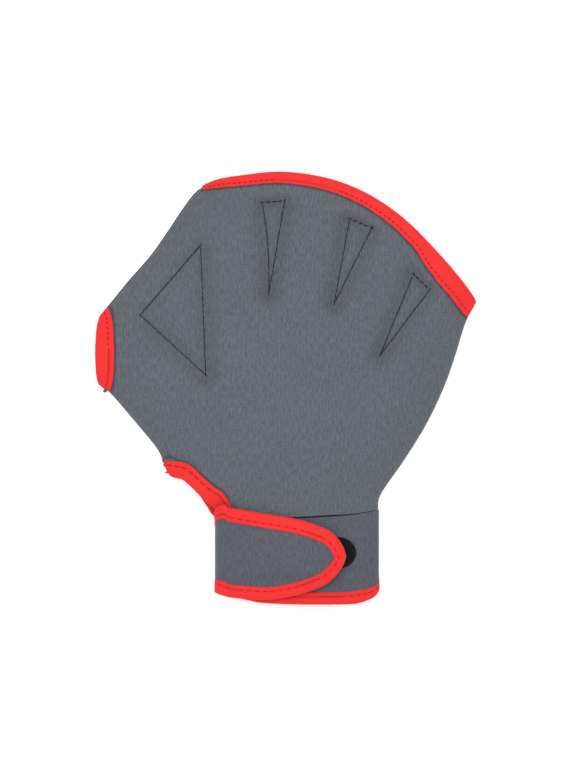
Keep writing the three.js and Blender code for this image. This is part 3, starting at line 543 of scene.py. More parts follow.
# Nylon jersey laminated on neoprene: matt, fine wales about 0.7 mm apart that only just
# show at this size, so they are drawn 1.1 mm apart
jerseyLook = {"faceColour": "#50555b", "shadeColour": "#35393e", "yarnGrain": 0.0009, "yarnShare": 0.9,
              "wale": 0.0011, "course": 0.0012, "streak": 0.3, "loopShare": 0.3, "mottle": 0.03,
              "mottleDepth": 0.03, "paintedShadeDepth": 0.15, "bump": 0.5, "bumpDepth": 0.00025,
              "roughness": 0.86, "specular": 0.25, "sheen": 0.12}
# The band's neoprene has the same knit in a darker colour
bandLook = dict(jerseyLook, faceColour="#494d54", shadeColour="#32343b")
# Stretch binding tape, warp-knitted nylon: smooth, even colour with a soft sheen
tapeLook = {"faceColour": "#bd2120", "shadeColour": "#ae1b1b", "yarnGrain": 0.0009, "yarnShare": 0.9,
            "wale": 0.0009, "course": 0.0009, "streak": 1.0, "loopShare": 0.3, "mottle": 0.02,
            "mottleDepth": 0.02, "paintedShadeDepth": 0.36, "bump": 0.25, "bumpDepth": 0.00012,
            "roughness": 0.75, "specular": 0.2, "sheen": 0.03}
# Brushed looped nylon of the touch fastener: deep black, short pile in faint ribs
pileLook = {"faceColour": "#0d0b11", "shadeColour": "#050406", "yarnGrain": 0.0007, "yarnShare": 0.9,
            "wale": 0.0009, "course": 0.0012, "streak": 1.0, "loopShare": 0.4, "mottle": 0.006,
            "mottleDepth": 0.15, "paintedShadeDepth": 0.0, "bump": 1.0, "bumpDepth": 0.0006,
            "roughness": 0.95, "specular": 0.1, "sheen": 0.08}
greyJersey = knitMaterial("laminated_neoprene_jersey", jerseyLook)
bandJersey = knitMaterial("band_neoprene_jersey", bandLook)
redTape = knitMaterial("knit_binding_tape", tapeLook)
blackPile = knitMaterial("looped_nylon_pile", pileLook)
# Twisted polyester sewing thread: near black on the webs, grey and soft at the side seams,
# deep red and dull on the tape, where it lies sunk in
blackThread = threadMaterial("polyester_thread_black", "#0d0f16", "#191c26", 0.7, 0.15)
greyThread = threadMaterial("polyester_thread_grey", "#2b2e34", "#363a40", 0.6, 0.3)
redThread = threadMaterial("polyester_thread_red", "#960508", "#b0070a", 0.8, 0.02)
print("stage: materials made")

# Panels

panelMesh = {
    "cells": {"upper": 92, "thumb": 34, "lower": 64, "slit": 30},
    "across": 196,
    "lipDensity": 6.0,  # how much closer the lines lie beside the side seams
    "lipShare": 0.03,
    # Painted shade of the palm: its reach beside the web stitches, and its strength, start and reach beside a
    # tape's inner edge
    "shade": {"stitchReach": 1.0, "tape": 4.0, "tapeFrom": 0.2, "tapeReach": 0.8},  # of the drawn-in places
}


def acrossShares(count, density, reach):
    # Shares 0 to 1 whose spacing is small at both ends: even steps of a summed density
    u = np.linspace(0.0, 1.0, 4001)
    dense = 1 + density * (np.exp(-u / reach) + np.exp(-(1 - u) / reach))
    total = np.concatenate([[0.0], np.cumsum((dense[1:] + dense[:-1]) / 2)])
    return np.interp(np.linspace(0.0, total[-1], count + 1), total, u)


def panelPlan(side):
    # Blend of the four edges: ruled between bottom and top, ruled between left and right,
    # less the bilinear patch of the four corners
    o, cells = outlines[side], panelMesh["cells"]
    rows = sum(cells.values())
    shares = acrossShares(panelMesh["across"], panelMesh["lipDensity"], panelMesh["lipShare"])
    bottom = pointsAt(o["wrist"], shares * runOf(o["wrist"])[-1])
    top = pointsAt(o["finger"][::-1], shares * runOf(o["finger"])[-1])
    right = evenly(o["right"], rows)
    down = [evenly(o[name], n)[(1 if k else 0):] for k, (name, n) in enumerate(cells.items())]
    left = np.vstack(down)[::-1]
    u, v = shares[None, :, None], np.linspace(0.0, 1.0, rows + 1)[:, None, None]
    ruledUp = (1 - v) * bottom[None] + v * top[None]
    ruledAcross = (1 - u) * left[:, None] + u * right[:, None]
    patch = (1 - v) * ((1 - u) * bottom[0] + u * bottom[-1]) + v * ((1 - u) * top[0] + u * top[-1])
    return ruledUp + ruledAcross - patch


def panelPiece(name, side, node):
    plan = panelPlan(side)
    rows, columns = plan.shape[:2]
    flat = plan.reshape(-1, 2)
    outer, normal, wall, _ = panelCloth(side)(flat)
    inner = outer - wall[:, None] * normal
    paintedShade, shade = np.zeros(len(flat)), panelMesh["shade"]
    # Painted shade on the palm: darker along the web stitches, and a painted shadow line beside each tape's inner
    # edge
    if side == "palm":
        near = np.min([nearest(flat, segments)[0] for segments in webSegments.values()], axis=0)
        beside = (pastTape(flat) - shade["tapeFrom"]) / shade["tapeReach"]
        paintedShade = np.exp(-((near / shade["stitchReach"]) ** 2)) + shade["tape"] * np.exp(-(beside ** 2))
    return shellPiece(name, node, outer.reshape(rows, columns, 3),
                      inner.reshape(rows, columns, 3), plan, greyJersey, paintedShade)


palmPanel = panelPiece("palmPanel", "palm", "palm_panel")
backPanel = panelPiece("backPanel", "back", "back_panel")
print("stage: panels made")

# Wrist band with its strap

bandForm = {
    "hiddenEnd": 7.0,  # from the left fold to the hidden end of the band's front
    "strapLift": 5.2,  # strap's face above the front's, over the two patches
    "edgeLift": 3.5,  # the same at the strap's edges, where they sink to the front
    "padReach": (9.0, 16.0),  # from the patches' middle line: where the sinking starts and ends
    "sinkRun": 14.0,  # length past the fold over which it comes on
    "tipReach": 9.0,  # before the tip, where the strap sinks over its whole height
    "tipShare": 0.55,
    "frontDrop": 0.12,  # band's front under the palm's face beside it
    "strapRise": 5.8,
    "riseStart": 0.5,
    "tapeStart": 0.9,  # where tape starts on the strap's top edge, in radii of its fold
    "loopDrop": 0.42,
    "cells": {"front": 80, "rightFold": 20, "back": 60, "leftFold": 26, "strap": 84},
    "rows": 60,
}
wristFine = outlines["palm"]["wrist"]
backWristFine = outlines["back"]["wrist"]
padMiddle = seamLevel - bandForm["loopDrop"] * gloveSize["bandHeight"]


def frontHeight(x):
    # Height of the palm's face half-way down the band
    x = np.atleast_1d(np.asarray(x, float))
    plan = np.column_stack([x, np.full(len(x), seamLevel - gloveSize["bandHeight"] / 2)])
    return outerFace("palm", plan, fine=False)[0][:, 2] - bandForm["frontDrop"]


def foldRadiusOf():
    # Half the height of the strap's face above the table, where the strap leaves the fold
    radius = 6.0
    for _ in range(8):
        radius = (frontHeight(radius - halfWrist)[0] + bandForm["strapLift"]) / 2
    return radius


foldRadius = foldRadiusOf()
strapEnd = gloveSize["strapReach"] - halfWrist - clothForm["tapeInset"]


def bandLine():
    # Section of the band: front, half ellipse, flat back, half circle, strap up to its tip
    c, lip, h = bandForm["cells"], clothForm["lipWidth"], clothForm["seamHeight"]
    start, end, strapStart = bandForm["hiddenEnd"] - halfWrist, halfWrist - lip, foldRadius - halfWrist
    front = np.linspace(start, end, c["front"], endpoint=False)
    turn = np.linspace(np.pi / 2, -np.pi / 2, c["rightFold"], endpoint=False)
    back = np.linspace(end, strapStart, c["back"], endpoint=False)
    bend = np.linspace(0.0, np.pi, c["leftFold"], endpoint=False)
    tip = np.sin(np.pi / 2 * np.linspace(0.0, 1.0, c["strap"] + 1))
    strapX = strapStart + (strapEnd - strapStart) * tip
    x = np.concatenate([front, end + lip * np.cos(turn), back, strapStart - foldRadius * np.sin(bend), strapX])
    z = np.concatenate([frontHeight(front), h * (1 + np.sin(turn)), np.zeros(len(back)),
                        foldRadius * (1 - np.cos(bend)), frontHeight(strapX) + bandForm["strapLift"]])
    part = np.repeat(np.arange(5), [c["front"], c["rightFold"], c["back"], c["leftFold"], c["strap"] + 1])
    return x, z, part


bandX, bandZ, bandPart = bandLine()
bandRun = runOf(np.column_stack([bandX, bandZ]))
bandTangent = unit(np.column_stack([np.gradient(bandX, bandRun), np.zeros(len(bandX)),
                                    np.gradient(bandZ, bandRun)]))
bandNormal = np.column_stack([-bandTangent[:, 2], np.zeros(len(bandX)), bandTangent[:, 0]])


def tableAt(table, place, column):
    # Smooth curve through a table's rows, read at places of its first column
    fine = splinePath(table, 24)
    return np.interp(place, fine[:, 0], fine[:, column])


def bandEdges():
    # Top and bottom edge of the band's cloth at each station of its section
    drop = lambda share: seamLevel - share * gloveSize["bandHeight"]
    inset = clothForm["tapeInset"]
    hem = drop(tableAt(hemTable, bandX / halfWrist, 1)) + inset
    along = (bandX + halfWrist) / (gloveSize["strapReach"] - inset)
    strapTop = drop(tableAt(strapTable, along, 1)) - inset
    strapBottom = drop(tableAt(strapTable, along, 2)) + inset
    middle = (strapTop + strapBottom) / 2
    strapTop, strapBottom = np.maximum(strapTop, middle), np.minimum(strapBottom, middle)
    seamFront = np.interp(bandX, wristFine[:, 0], wristFine[:, 1]) - clothForm["seamGap"]
    seamBack = np.interp(bandX, backWristFine[:, 0], backWristFine[:, 1]) - clothForm["seamGap"]
    free = smooth((bandZ / foldRadius - bandForm["riseStart"]) / (2 - bandForm["riseStart"]))
    high = seamLevel + bandForm["strapRise"] - inset
    foldTop = seamBack + free * (high - seamBack)
    picks = [bandPart == k for k in range(5)]
    top = np.select(picks, [seamFront, seamFront, seamBack, foldTop, strapTop])
    bottom = np.select(picks, [hem, hem, hem, np.maximum(hem, strapBottom), strapBottom])
    return top, bottom


bandTop, bandBottom = bandEdges()


def bandCloth(sunk):
    # Gives for (walked length, y) the band's outer face, its normal, the wall and the tangent.
    # The strap sinks towards the front away from the patches, and the hem's tape is let in
    # where the band lies on the table.
    def surface(plan):
        run, y = plan.T
        inside = np.clip(run, 0.0, bandRun[-1])
        pick = lambda values: np.interp(inside, bandRun, values)
        normal = unit(np.column_stack([pick(bandNormal[:, 0]), np.zeros(len(run)), pick(bandNormal[:, 2])]))
        tangent = unit(np.column_stack([pick(bandTangent[:, 0]), np.zeros(len(run)), pick(bandTangent[:, 2])]))
        point = np.column_stack([pick(bandX), y, pick(bandZ)]) + (run - inside)[:, None] * tangent
        onStrap = smooth((inside - bandRun[np.argmax(bandPart == 4)]) / bandForm["sinkRun"])
        (first, last), reach = bandForm["padReach"], bandForm["tipReach"]
        away = smooth((np.abs(y - padMiddle) - first) / (last - first))
        pastTip = smooth((point[:, 0] - strapEnd + reach) / reach)
        sunkBy = onStrap * np.maximum(away, bandForm["tipShare"] * pastTip)
        point[:, 2] -= (bandForm["strapLift"] - bandForm["edgeLift"]) * sunkBy
        letIn = np.maximum(0.0, -normal[:, 2]) * (pinch(sunk(plan)) if sunk else 0.0)
        point = point - clothForm["tapeLift"] * letIn[:, None] * normal
        wall = clothForm["wall"] - (clothForm["wall"] - clothForm["boundWall"]) * letIn
        return point, normal, wall, tangent
    return surface


def aboveHem(plan):
    # Distance up from the band's bottom edge
    return plan[:, 1] - np.interp(plan[:, 0], bandRun, bandBottom)


def bandPiece():
    share = np.linspace(0.0, 1.0, bandForm["rows"] + 1)
    y = bandBottom[:, None] + (bandTop - bandBottom)[:, None] * share
    run = np.repeat(bandRun[:, None], len(share), axis=1)
    plan = np.stack([run, y], axis=-1)
    outer, normal, wall, _ = bandCloth(aboveHem)(plan.reshape(-1, 2))
    inner = outer - wall[:, None] * normal
    shape = (*plan.shape[:2], 3)
    return shellPiece("wristBand", "wrist_band", outer.reshape(shape),
                      inner.reshape(shape), plan, bandJersey, np.zeros(plan.shape[:2]))


wristBand = bandPiece()
print("stage: wrist band made")

# Binding tape

tapeForm = {
    "step": 0.9,  # between stations
    "face": 0.9,  # thickness over the cloth
    "fold": 0.95,
    "groove": 0.2,  # height left in the groove of a creased stitch row
    "dip": 0.66,  # the same where the stitches lie open on the tape
    "flange": 0.64,  # height of the free strip past the stitch row
    "spread": 1.9,  # stitch offset at which the groove has its full width
    "innerShare": 0.8,  # inner leg's width beside the outer leg's
    "under": 0.04,  # tape's underside above the cloth
    "endFade": 6.0,  # from an end, where the inner leg gets its full size
    "turn": 7.0,  # from an end, where the tape stops leaning along the next edge
    "fullNose": 3.0,  # width from which the fold stands out by the whole inset
    "waves": ((0.9, 0.0, 1.0), (0.37, 1.0, 0.6)),  # of the wavy inner edge: rate, phase, share
    "pucker": 0.07,  # of the stitches, in height
    "puckerReach": 1.3,
    "shadeReach": 0.45,  # of the drawn-in stitch row
    "flattest": 0.35,  # thickness left where the cloth turns upright
    "gap": 0.02,  # from the other panel's tape
    "deepest": 0.45,  # stitch offset in shares of the width
    "lookAhead": 6.0,  # length of the next edge that gives the lean's direction
}


def tapeProfile(width, offset, crease):
    # Rows of the tape's section from the outer leg's free edge round the fold to the inner
    # leg's free edge: distance in from the edge, share through the wall, height, distance out.
    # The outer leg's height dips to the stitch row, deeper where it is creased.
    f = tapeForm
    s, k = width - offset, min(1.0, offset / f["spread"])
    low, flange, face = f["dip"] + (f["groove"] - f["dip"]) * crease, f["flange"], f["face"]
    outer = [(width, 0.1), (width - 0.12 * k, 0.36), (width - 0.45 * k, flange * 0.95), (width - 1.0 * k, flange),
             (s + 0.75 * k, flange), (s + 0.35 * k, low + 0.4 * (flange - low)), (s, low),
             (s - 0.35 * k, low + 0.36 * (face - low)), (s - 0.8 * k, low + 0.74 * (face - low)),
             (s - 1.5 * k, face), (s * 0.5 - 0.2 * k, face * 1.04), (0.8 * k, f["fold"]), (0.0, f["fold"])]
    rows = [(distance, 0.0, height, 0.0) for distance, height in outer]
    for angle in np.linspace(np.pi / 2, -np.pi / 2, 9)[1:-1]:
        rows.append((0.0, (1 - math.sin(angle)) / 2, f["fold"] * math.sin(angle), math.cos(angle)))
    reach = width * f["innerShare"]
    for share, height in ((0.0, f["fold"]), (0.35, face), (0.7, face * 0.8), (0.93, 0.5), (1.0, 0.1)):
        rows.append((reach * share, 1.0, -height, 0.0))
    return np.array(rows)


def tapeGrids(path, inward, width, offset, crease, surface, side=0, wavy=0.0, pitch=3.4):
    # The profile carried along the edge: at each station its points are placed on the cloth
    # at their distance in, then raised along the cloth's normal or pushed out past the edge.
    # Where the cloth turns upright the tape is pressed flatter.
    f = tapeForm
    run = runOf(path)
    profiles = np.stack([tapeProfile(*values) for values in zip(width, offset, crease)])
    profiles[:, :, 0] = np.maximum(profiles[:, :, 0], 0.0)
    through, height, out = profiles[:, :, 1], profiles[:, :, 2], profiles[:, :, 3]
    full = smooth(np.minimum(run, run[-1] - run) / f["endFade"])[:, None]
    innerLeg = through[:1] > 0.999
    distance = profiles[:, :, 0] * np.where(innerLeg, 0.15 + 0.85 * full, 1.0)
    wave = wavy * sum(share * np.sin(run * rate + phase) for rate, phase, share in f["waves"])
    distance = distance + wave[:, None] * smooth(distance / width[:, None] - 0.2) * (distance > 0)
    plan = path[:, None, :] + distance[..., None] * inward[:, None, :]
    shape = (*plan.shape[:2], 3)
    point, normal, wall, tangent = surface(plan.reshape(-1, 2))
    point, normal, tangent = point.reshape(shape), normal.reshape(shape), tangent.reshape(shape)
    wall = wall.reshape(shape[:2])
    outward = -(inward[:, None, :1] * tangent + inward[:, None, 1:] * np.array([0.0, 1.0, 0.0]))
    onFace = through < 0.001
    fromRow = distance - (width - offset)[:, None]
    pucker = f["pucker"] * np.cos(2 * np.pi * run / pitch)[:, None] * onFace
    pucker = pucker * np.exp(-((fromRow / f["puckerReach"]) ** 2))
    pressed = f["flattest"] + (1 - f["flattest"]) * np.abs(normal[..., 2])
    lift = (height + pucker) * np.where(innerLeg, 0.25 + 0.75 * full, 1.0) * pressed
    nose = np.clip(width / f["fullNose"], 0.35, 1.0)[:, None] * out
    base = point - (wall * through)[..., None] * normal
    top = base + lift[..., None] * normal + (clothForm["tapeInset"] * nose)[..., None] * outward
    sign = np.sign(height) + (height == 0)
    slack = np.where(out > 1e-6, np.abs(height) / f["fold"], 1.0)
    under = base + (f["under"] * sign * slack)[..., None] * normal + (0.25 * nose)[..., None] * outward
    if side:
        middle = clothForm["seamHeight"]
        gap = f["gap"]
        limit = lambda z: np.maximum(z, middle + gap) if side > 0 else np.minimum(z, middle - gap)
        top[..., 2] = np.where(through > 0.3, limit(top[..., 2]), top[..., 2])
        under[..., 2] = np.where(through > 0.3, limit(under[..., 2]), under[..., 2])
    walked = np.cumsum(np.abs(np.gradient(distance + 1.6 * out, axis=1)), axis=1)
    uv = np.stack([np.repeat(run[:, None], plan.shape[1], axis=1), walked], axis=-1)
    # Painted shade along the stitch row on the tape's face, stronger where the row is creased
    paintedShade = np.exp(-((fromRow / f["shadeReach"]) ** 2)) * onFace * (0.2 + 0.8 * crease[:, None])
    return top, under, uv, paintedShade


def leftOf(path, reach):
    # Directions to the left of the path, averaged over a short reach
    along = np.gradient(path, axis=0)
    left = unit(np.column_stack([-along[:, 1], along[:, 0]]))
    run = runOf(path)
    weight = np.maximum(0.0, 1 - np.abs(run[:, None] - run[None, :]) / reach)
    return unit(weight @ left)


tapeTops = {}  # each tape's top face and how creased its stitch row is
stitchColumn = 6  # row of the tape's profile on which the stitches lie


def tapePiece(name, node, path, inward, width, offset, crease, surface, side=0, wavy=0.0, pitch=3.4):
    top, under, uv, paintedShade = tapeGrids(path, inward, width, offset, crease, surface, side, wavy, pitch)
    tapeTops[name] = (top, crease)
    return shellPiece(name, node, top, under, uv, redTape, paintedShade)


def edgeTape(edge, side, widths, offsets, creases=((0, 0), (1, 0)), lean=(1.0, 1.0), wavy=0.0):
    # Tape on one edge of a panel. Over the share of the edge walked: widths in shares of the
    # tape width, offsets of the stitch row in millimetres, creases from 0 to 1. At its ends
    # the tape leans along the edges next to it.
    order = ["right", "finger", "upper", "thumb", "lower", "slit", "wrist"]
    k = order.index(edge)
    o = outlines[side]
    path = evenly(o[edge], int(round(runOf(o[edge])[-1] / tapeForm["step"])))
    run = runOf(path)
    read = lambda table: np.interp(run / run[-1], *np.asarray(table, float).T)
    inward = leftOf(path, 5.0)
    before = unit(pointsAt(o[order[k - 1]][::-1], tapeForm["lookAhead"]) - path[0])
    after = unit(pointsAt(o[order[k + 1]], tapeForm["lookAhead"]) - path[-1])
    atStart = lean[0] * (1 - smooth(run / tapeForm["turn"]))
    atEnd = lean[1] * (1 - smooth((run[-1] - run) / tapeForm["turn"]))
    inward = unit(inward * (1 - atStart - atEnd)[:, None] + before * atStart[:, None]
                  + after * atEnd[:, None])
    width = clothForm["tapeWidth"] * read(widths)
    offset = np.minimum(read(offsets), tapeForm["deepest"] * width)
    return tapePiece(f"{edge}Tape{side.capitalize()}", f"{edge}_binding_{side}", path, inward, width,
                     offset, read(creases), panelCloth(side), 1 if side == "palm" else -1, wavy)


fingerCreases = [(0, 0), (0.5, 0), (0.56, 0.5), (0.7, 0.6), (0.9, 0.35), (1, 0)]
tapes = [
    edgeTape("finger", "palm", palmTapeShares["finger"], [(0, 2.5), (0.2, 2.0), (0.5, 1.7), (1, 1.7)],
             fingerCreases, (1.0, 0.3), 0.09),
    edgeTape("finger", "back", [(0, 1), (0.9, 1), (1, 0.3)], [(0, 2.2), (1, 2.2)], lean=(1.0, 0.3)),
    edgeTape("thumb", "palm", palmTapeShares["thumb"], [(0, 3.0), (1, 2.8)],
             [(0, 0.6), (0.08, 0), (0.48, 0), (0.56, 1), (1, 1)]),
    edgeTape("thumb", "back", [(0, 1), (1, 1)], [(0, 2.6), (1, 2.6)]),
    edgeTape("slit", "palm", palmTapeShares["slit"], [(0, 2.6), (1, 2.6)],
             [(0, 0), (0.58, 0), (0.68, 1), (1, 1)], (1.0, 0.6)),
    edgeTape("slit", "back", [(0, 1), (1, 1)], [(0, 2.6), (1, 2.6)], lean=(1.0, 0.6)),
]
print("stage: panel tapes made")

# Where the stitch row of the band's tape is creased in, over x
bandCreases = {
    "top": np.array([(-44, 1), (-38, 1), (-34, 0), (3, 0), (7, 1), (15, 1), (19, 0)]),
    "bottom": np.array([(-44, 0.6), (-32, 0.6), (-28, 0), (0, 0), (4, 1), (10, 1), (14, 0)]),
    "hem": np.array([(-44, 0.6), (11, 0.6), (13, 1), (24, 1), (27, 0)]),
}
bandTapeForm = {
    "top": 6.4, "tip": 5.7, "bottom": 5.7, "back": 6.4, "least": 3.2,  # widths
    "tipRun": 12.0,  # before the tip, where the width changes to the tip's
    "turnRun": 8.0,  # half before and half after the fold, where strap and hem meet
    "pitch": 4.2,  # of its stitches
    "offset": 2.4,  # of its stitch row
    "backCrease": 0.3,
}


def bandTapePiece():
    # One tape: along the strap's top edge to the tip, back along its bottom edge and the hem.
    # On the band's front its inner edge follows the measured heights.
    w = bandTapeForm
    strapSide = (bandPart == 4) | ((bandPart == 3) & (bandZ > foldRadius * bandForm["tapeStart"]))
    topLine = np.column_stack([bandRun, bandTop])[strapSide]
    bottomLine = np.column_stack([bandRun, bandBottom])[::-1]
    line = np.vstack([topLine, bottomLine[1:]])
    cells = int(round(runOf(line)[-1] / tapeForm["step"]))
    path = evenly(line, cells)
    place, x = path[:, 0], np.interp(path[:, 0], bandRun, bandX)
    partStart = [bandRun[np.argmax(bandPart == k)] for k in range(5)]
    onStrap = smooth((place - partStart[4] + w["turnRun"] / 2) / w["turnRun"])
    onTop = np.arange(len(path)) < cells * runOf(topLine)[-1] / runOf(line)[-1]
    upright = np.column_stack([np.zeros(len(path)), np.where(onTop, -1.0, 1.0)])
    inward = unit(-leftOf(path, 9.0) * onStrap[:, None] + upright * (1 - onStrap)[:, None])
    front = np.maximum(np.interp(x, *hemInner.T) - path[:, 1], w["least"])
    behind = smooth((place - partStart[1]) / (partStart[2] - partStart[1]))
    hem = front + (w["back"] - front) * behind
    atTip = smooth((x - strapEnd + w["tipRun"]) / w["tipRun"])
    strap = np.where(onTop, w["top"], w["bottom"]) + (w["tip"] - w["top"]) * atTip
    width = np.where(onTop, strap, hem + (strap - hem) * onStrap)
    c = {key: np.interp(x, *table.T) for key, table in bandCreases.items()}
    low = np.where(place < partStart[1], c["hem"], w["backCrease"])
    crease = np.where(onTop, c["top"], np.where(onStrap > 0.5, c["bottom"], low))
    offset = np.minimum(w["offset"], tapeForm["deepest"] * width)
    return tapePiece("bandTape", "band_binding", path, inward, width, offset, crease,
                     bandCloth(aboveHem), pitch=w["pitch"])


bandTape = bandTapePiece()
print("stage: band tape made")

# Patches of the touch fastener

patchForm = {
    "thickness": 1.0,
    "blunt": 1.2,  # bluntness of the round end; 1 is half a circle
    "edgeRound": 1.2,
    "loopHeight": 16.8,
    "loopLength": 48.0,
    "loopShows": 5.0,  # past the strap's tip
    "loopLift": 0.12,  # over the band's front
    "hookHeight": 15.0,
    "hookLength": 36.0,
    "hookDrop": 0.45,
    "hookLift": 1.7,
    "cells": 70,
    "rows": 26,
}


def patchPiece(name, node, left, right, middle, height, lift):
    # Flat patch on the band's front with a round right end: half height by an ellipse's chord,
    # face a little crowned and its edge rounded down
    f = patchForm
    x = left + (right - left) * np.sin(np.pi / 2 * np.linspace(0.0, 1.0, f["cells"] + 1))
    radius = height / 2
    near = np.clip((right - x) / (radius * f["blunt"]), 0.02, 1.0)
    half = radius * np.sqrt(1 - (1 - near) ** 2)
    share = np.sin(np.pi / 2 * np.linspace(-1.0, 1.0, f["rows"] + 1))
    y = middle + half[:, None] * share
    grid = np.stack([np.repeat(x[:, None], len(share), axis=1), y], axis=-1)
    z = frontHeight(x)[:, None] + lift
    edge = np.minimum(half[:, None] * (1 - np.abs(share)), (right - x)[:, None])
    crown = f["thickness"] * (0.35 + 0.65 * np.sqrt(smooth(edge / f["edgeRound"] + 0.02)))
    top = np.dstack([grid, z + crown])
    under = np.dstack([grid, np.broadcast_to(z, crown.shape)])
    return shellPiece(name, node, top, under, grid, blackPile, np.zeros(crown.shape))


patchTip = gloveSize["strapReach"] - halfWrist + patchForm["loopShows"]
hookTip = gloveSize["strapReach"] - halfWrist - clothForm["tapeInset"] - 2 * clothForm["tapeWidth"]
loopPatch = patchPiece("loopPatch", "loop_patch", patchTip - patchForm["loopLength"], patchTip, padMiddle,
                       patchForm["loopHeight"], patchForm["loopLift"])
hookPatch = patchPiece("hookPatch", "hook_patch", hookTip - patchForm["hookLength"], hookTip,
                       seamLevel - patchForm["hookDrop"] * gloveSize["bandHeight"],
                       patchForm["hookHeight"], patchForm["hookLift"])
print("stage: patches made")

# Stitches

stitchForm = {
    "rings": np.array([0.0, 0.1, 0.5, 0.9, 1.0]),  # shares of a stitch's length
    "girth": np.array([0.45, 1.0, 1.05, 1.0, 0.45]),
    "sides": 6,
    "jitter": 0.06,  # of where a stitch starts, in pitches
    "wander": 0.04,  # of a web's row
    "webTail": 1.2,  # row past a web's corner
    "shortSide": 18.0,  # a web side under this has the coarser stitches
    "webCoarse": (2.4, 0.32),  # length and radius
    "webFine": (3.4, 0.24),
    "webPitch": 3.3,
    "lift": {"web": 0.2, "tape": 0.12},
    # Length, pitch and radius of each tape's stitches
    "fingerTapePalm": (1.25, 2.9, 0.25),
    "thumbTapePalm": (1.25, 3.0, 0.25),
    "slitTapePalm": (3.0, 4.4, 0.25),
    "fingerTapeBack": (1.8, 3.2, 0.25),
    "thumbTapeBack": (1.8, 3.2, 0.25),
    "slitTapeBack": (1.8, 3.2, 0.25),
    "bandTape": (2.2, bandTapeForm["pitch"], 0.27),
}
dice = np.random.default_rng(7)


def stitchRow(path, normal, length, pitch, radius, lift, margin=1.0, slant=0.0, hidden=None):
    # Each stitch is a short round thread on the path: rings along it whose girth narrows at
    # both ends, arched up from the cloth in the middle; none where the row is hidden
    run = runOf(path)
    starts = np.arange(margin, run[-1] - margin - length, pitch)
    starts = starts + dice.uniform(-stitchForm["jitter"], stitchForm["jitter"], len(starts)) * pitch
    if hidden is not None:
        starts = starts[np.interp(starts + length / 2, run, hidden) < 0.5]
    t, girth = stitchForm["rings"], stitchForm["girth"]
    where = starts[:, None] + t * length
    read = lambda values, at: np.stack([np.interp(at, run, values[:, k]) for k in range(3)], axis=-1)
    centre, up = read(path, where), unit(read(normal, where))
    ahead = unit(read(path, where + 0.3) - read(path, where - 0.3))
    aside = unit(np.cross(up, ahead))
    arch = lift * np.sin(np.pi * (0.12 + 0.76 * t))
    lean = slant * (t - 0.5)
    centre = centre + arch[:, None] * up + lean[:, None] * aside
    angle = 2 * np.pi * np.arange(stitchForm["sides"]) / stitchForm["sides"]
    ring = (np.cos(angle)[:, None] * aside[:, :, None] + np.sin(angle)[:, None] * up[:, :, None])
    points = centre[:, :, None] + radius * girth[:, None, None] * ring
    count, rings, sides = len(starts), len(t), stitchForm["sides"]
    k = np.arange(count * rings * sides).reshape(count, rings, sides)
    turned = np.roll(k, -1, axis=2)
    quads = np.stack([k[:, :-1], turned[:, :-1], turned[:, 1:], k[:, 1:]], axis=-1).reshape(-1, 4)
    caps = [list(c) for c in np.vstack([k[:, 0][:, ::-1], k[:, -1]])]
    spread = [np.broadcast_to(part, points.shape[:3]) for part in (where[:, :, None], radius * angle)]
    uv = np.stack(spread, axis=-1)
    return points.reshape(-1, 3), quads, caps, uv.reshape(-1, 2)


def threadPiece(name, rows, material):
    # Several rows of stitches joined into one piece
    points, quads, caps, uvs, start = [], [], [], [], 0
    for p, q, c, uv in rows:
        points.append(p)
        quads.append(q + start)
        caps += [[v + start for v in cap] for cap in c]
        uvs.append(uv)
        start += len(p)
    faces = np.vstack(quads)
    return meshPiece(name, np.vstack(points), faces, np.vstack(uvs), material, sharpAngle=80, caps=caps)


def faceNormals(grid):
    # Normals of a grid from the cross product of its two directions
    return unit(np.cross(np.gradient(grid, axis=1), np.gradient(grid, axis=0)))


def webRows():
    # Stitches on the palm along each side of each web, past its corners by a short tail
    rows, f = [], stitchForm
    for name, places in webCorners.items():
        for k in range(3):
            plan = webSide(name, k, tail=f["webTail"], cells=70)
            plan = plan + dice.normal(0.0, f["wander"], plan.shape)
            point, normal = outerFace("palm", plan)
            short = np.linalg.norm(places[(k + 1) % 3] - places[k]) < f["shortSide"]
            length, radius = f["webCoarse"] if short else f["webFine"]
            rows.append(stitchRow(point, normal, length, f["webPitch"], radius, f["lift"]["web"], 0.3, 0.2))
    return rows


def tapeRows():
    rows = []
    for name in ("fingerTapePalm", "thumbTapePalm", "slitTapePalm",
                 "fingerTapeBack", "thumbTapeBack", "slitTapeBack", "bandTape"):
        top, crease = tapeTops[name]
        normal = faceNormals(top)[:, stitchColumn]
        rows.append(stitchRow(top[:, stitchColumn], normal, *stitchForm[name], stitchForm["lift"]["tape"],
                              2.0, hidden=crease))
    return rows


webStitches = threadPiece("webStitches", webRows(), blackThread)
tapeStitches = threadPiece("tapeStitches", tapeRows(), redThread)
print("stage: stitches made")

# Seam lines

seamForm = {
    "sideRadius": 0.42,
    "thinShare": 0.7,  # of that at the right and lower seams
    "sides": 8,
    "step": 0.7,
    "twist": 0.12,  # ripple of the girth
    "pitch": 1.5,
    "endFade": 1.0,
    "wristSink": 0.25,  # of the wrist seams into the cloth
    # The black wrist seam cord is partly the overlock thread and partly painted shadow in the gap between palm and
    # band; its radii over x are thicker on the left, where the strap lifts
    "wristThreadAndShadowGirth": ([-30.0, 18.0, 30.0, 43.0], [0.55, 0.55, 0.42, 0.25]),  # radii over x
    "wristBack": 0.35,
}


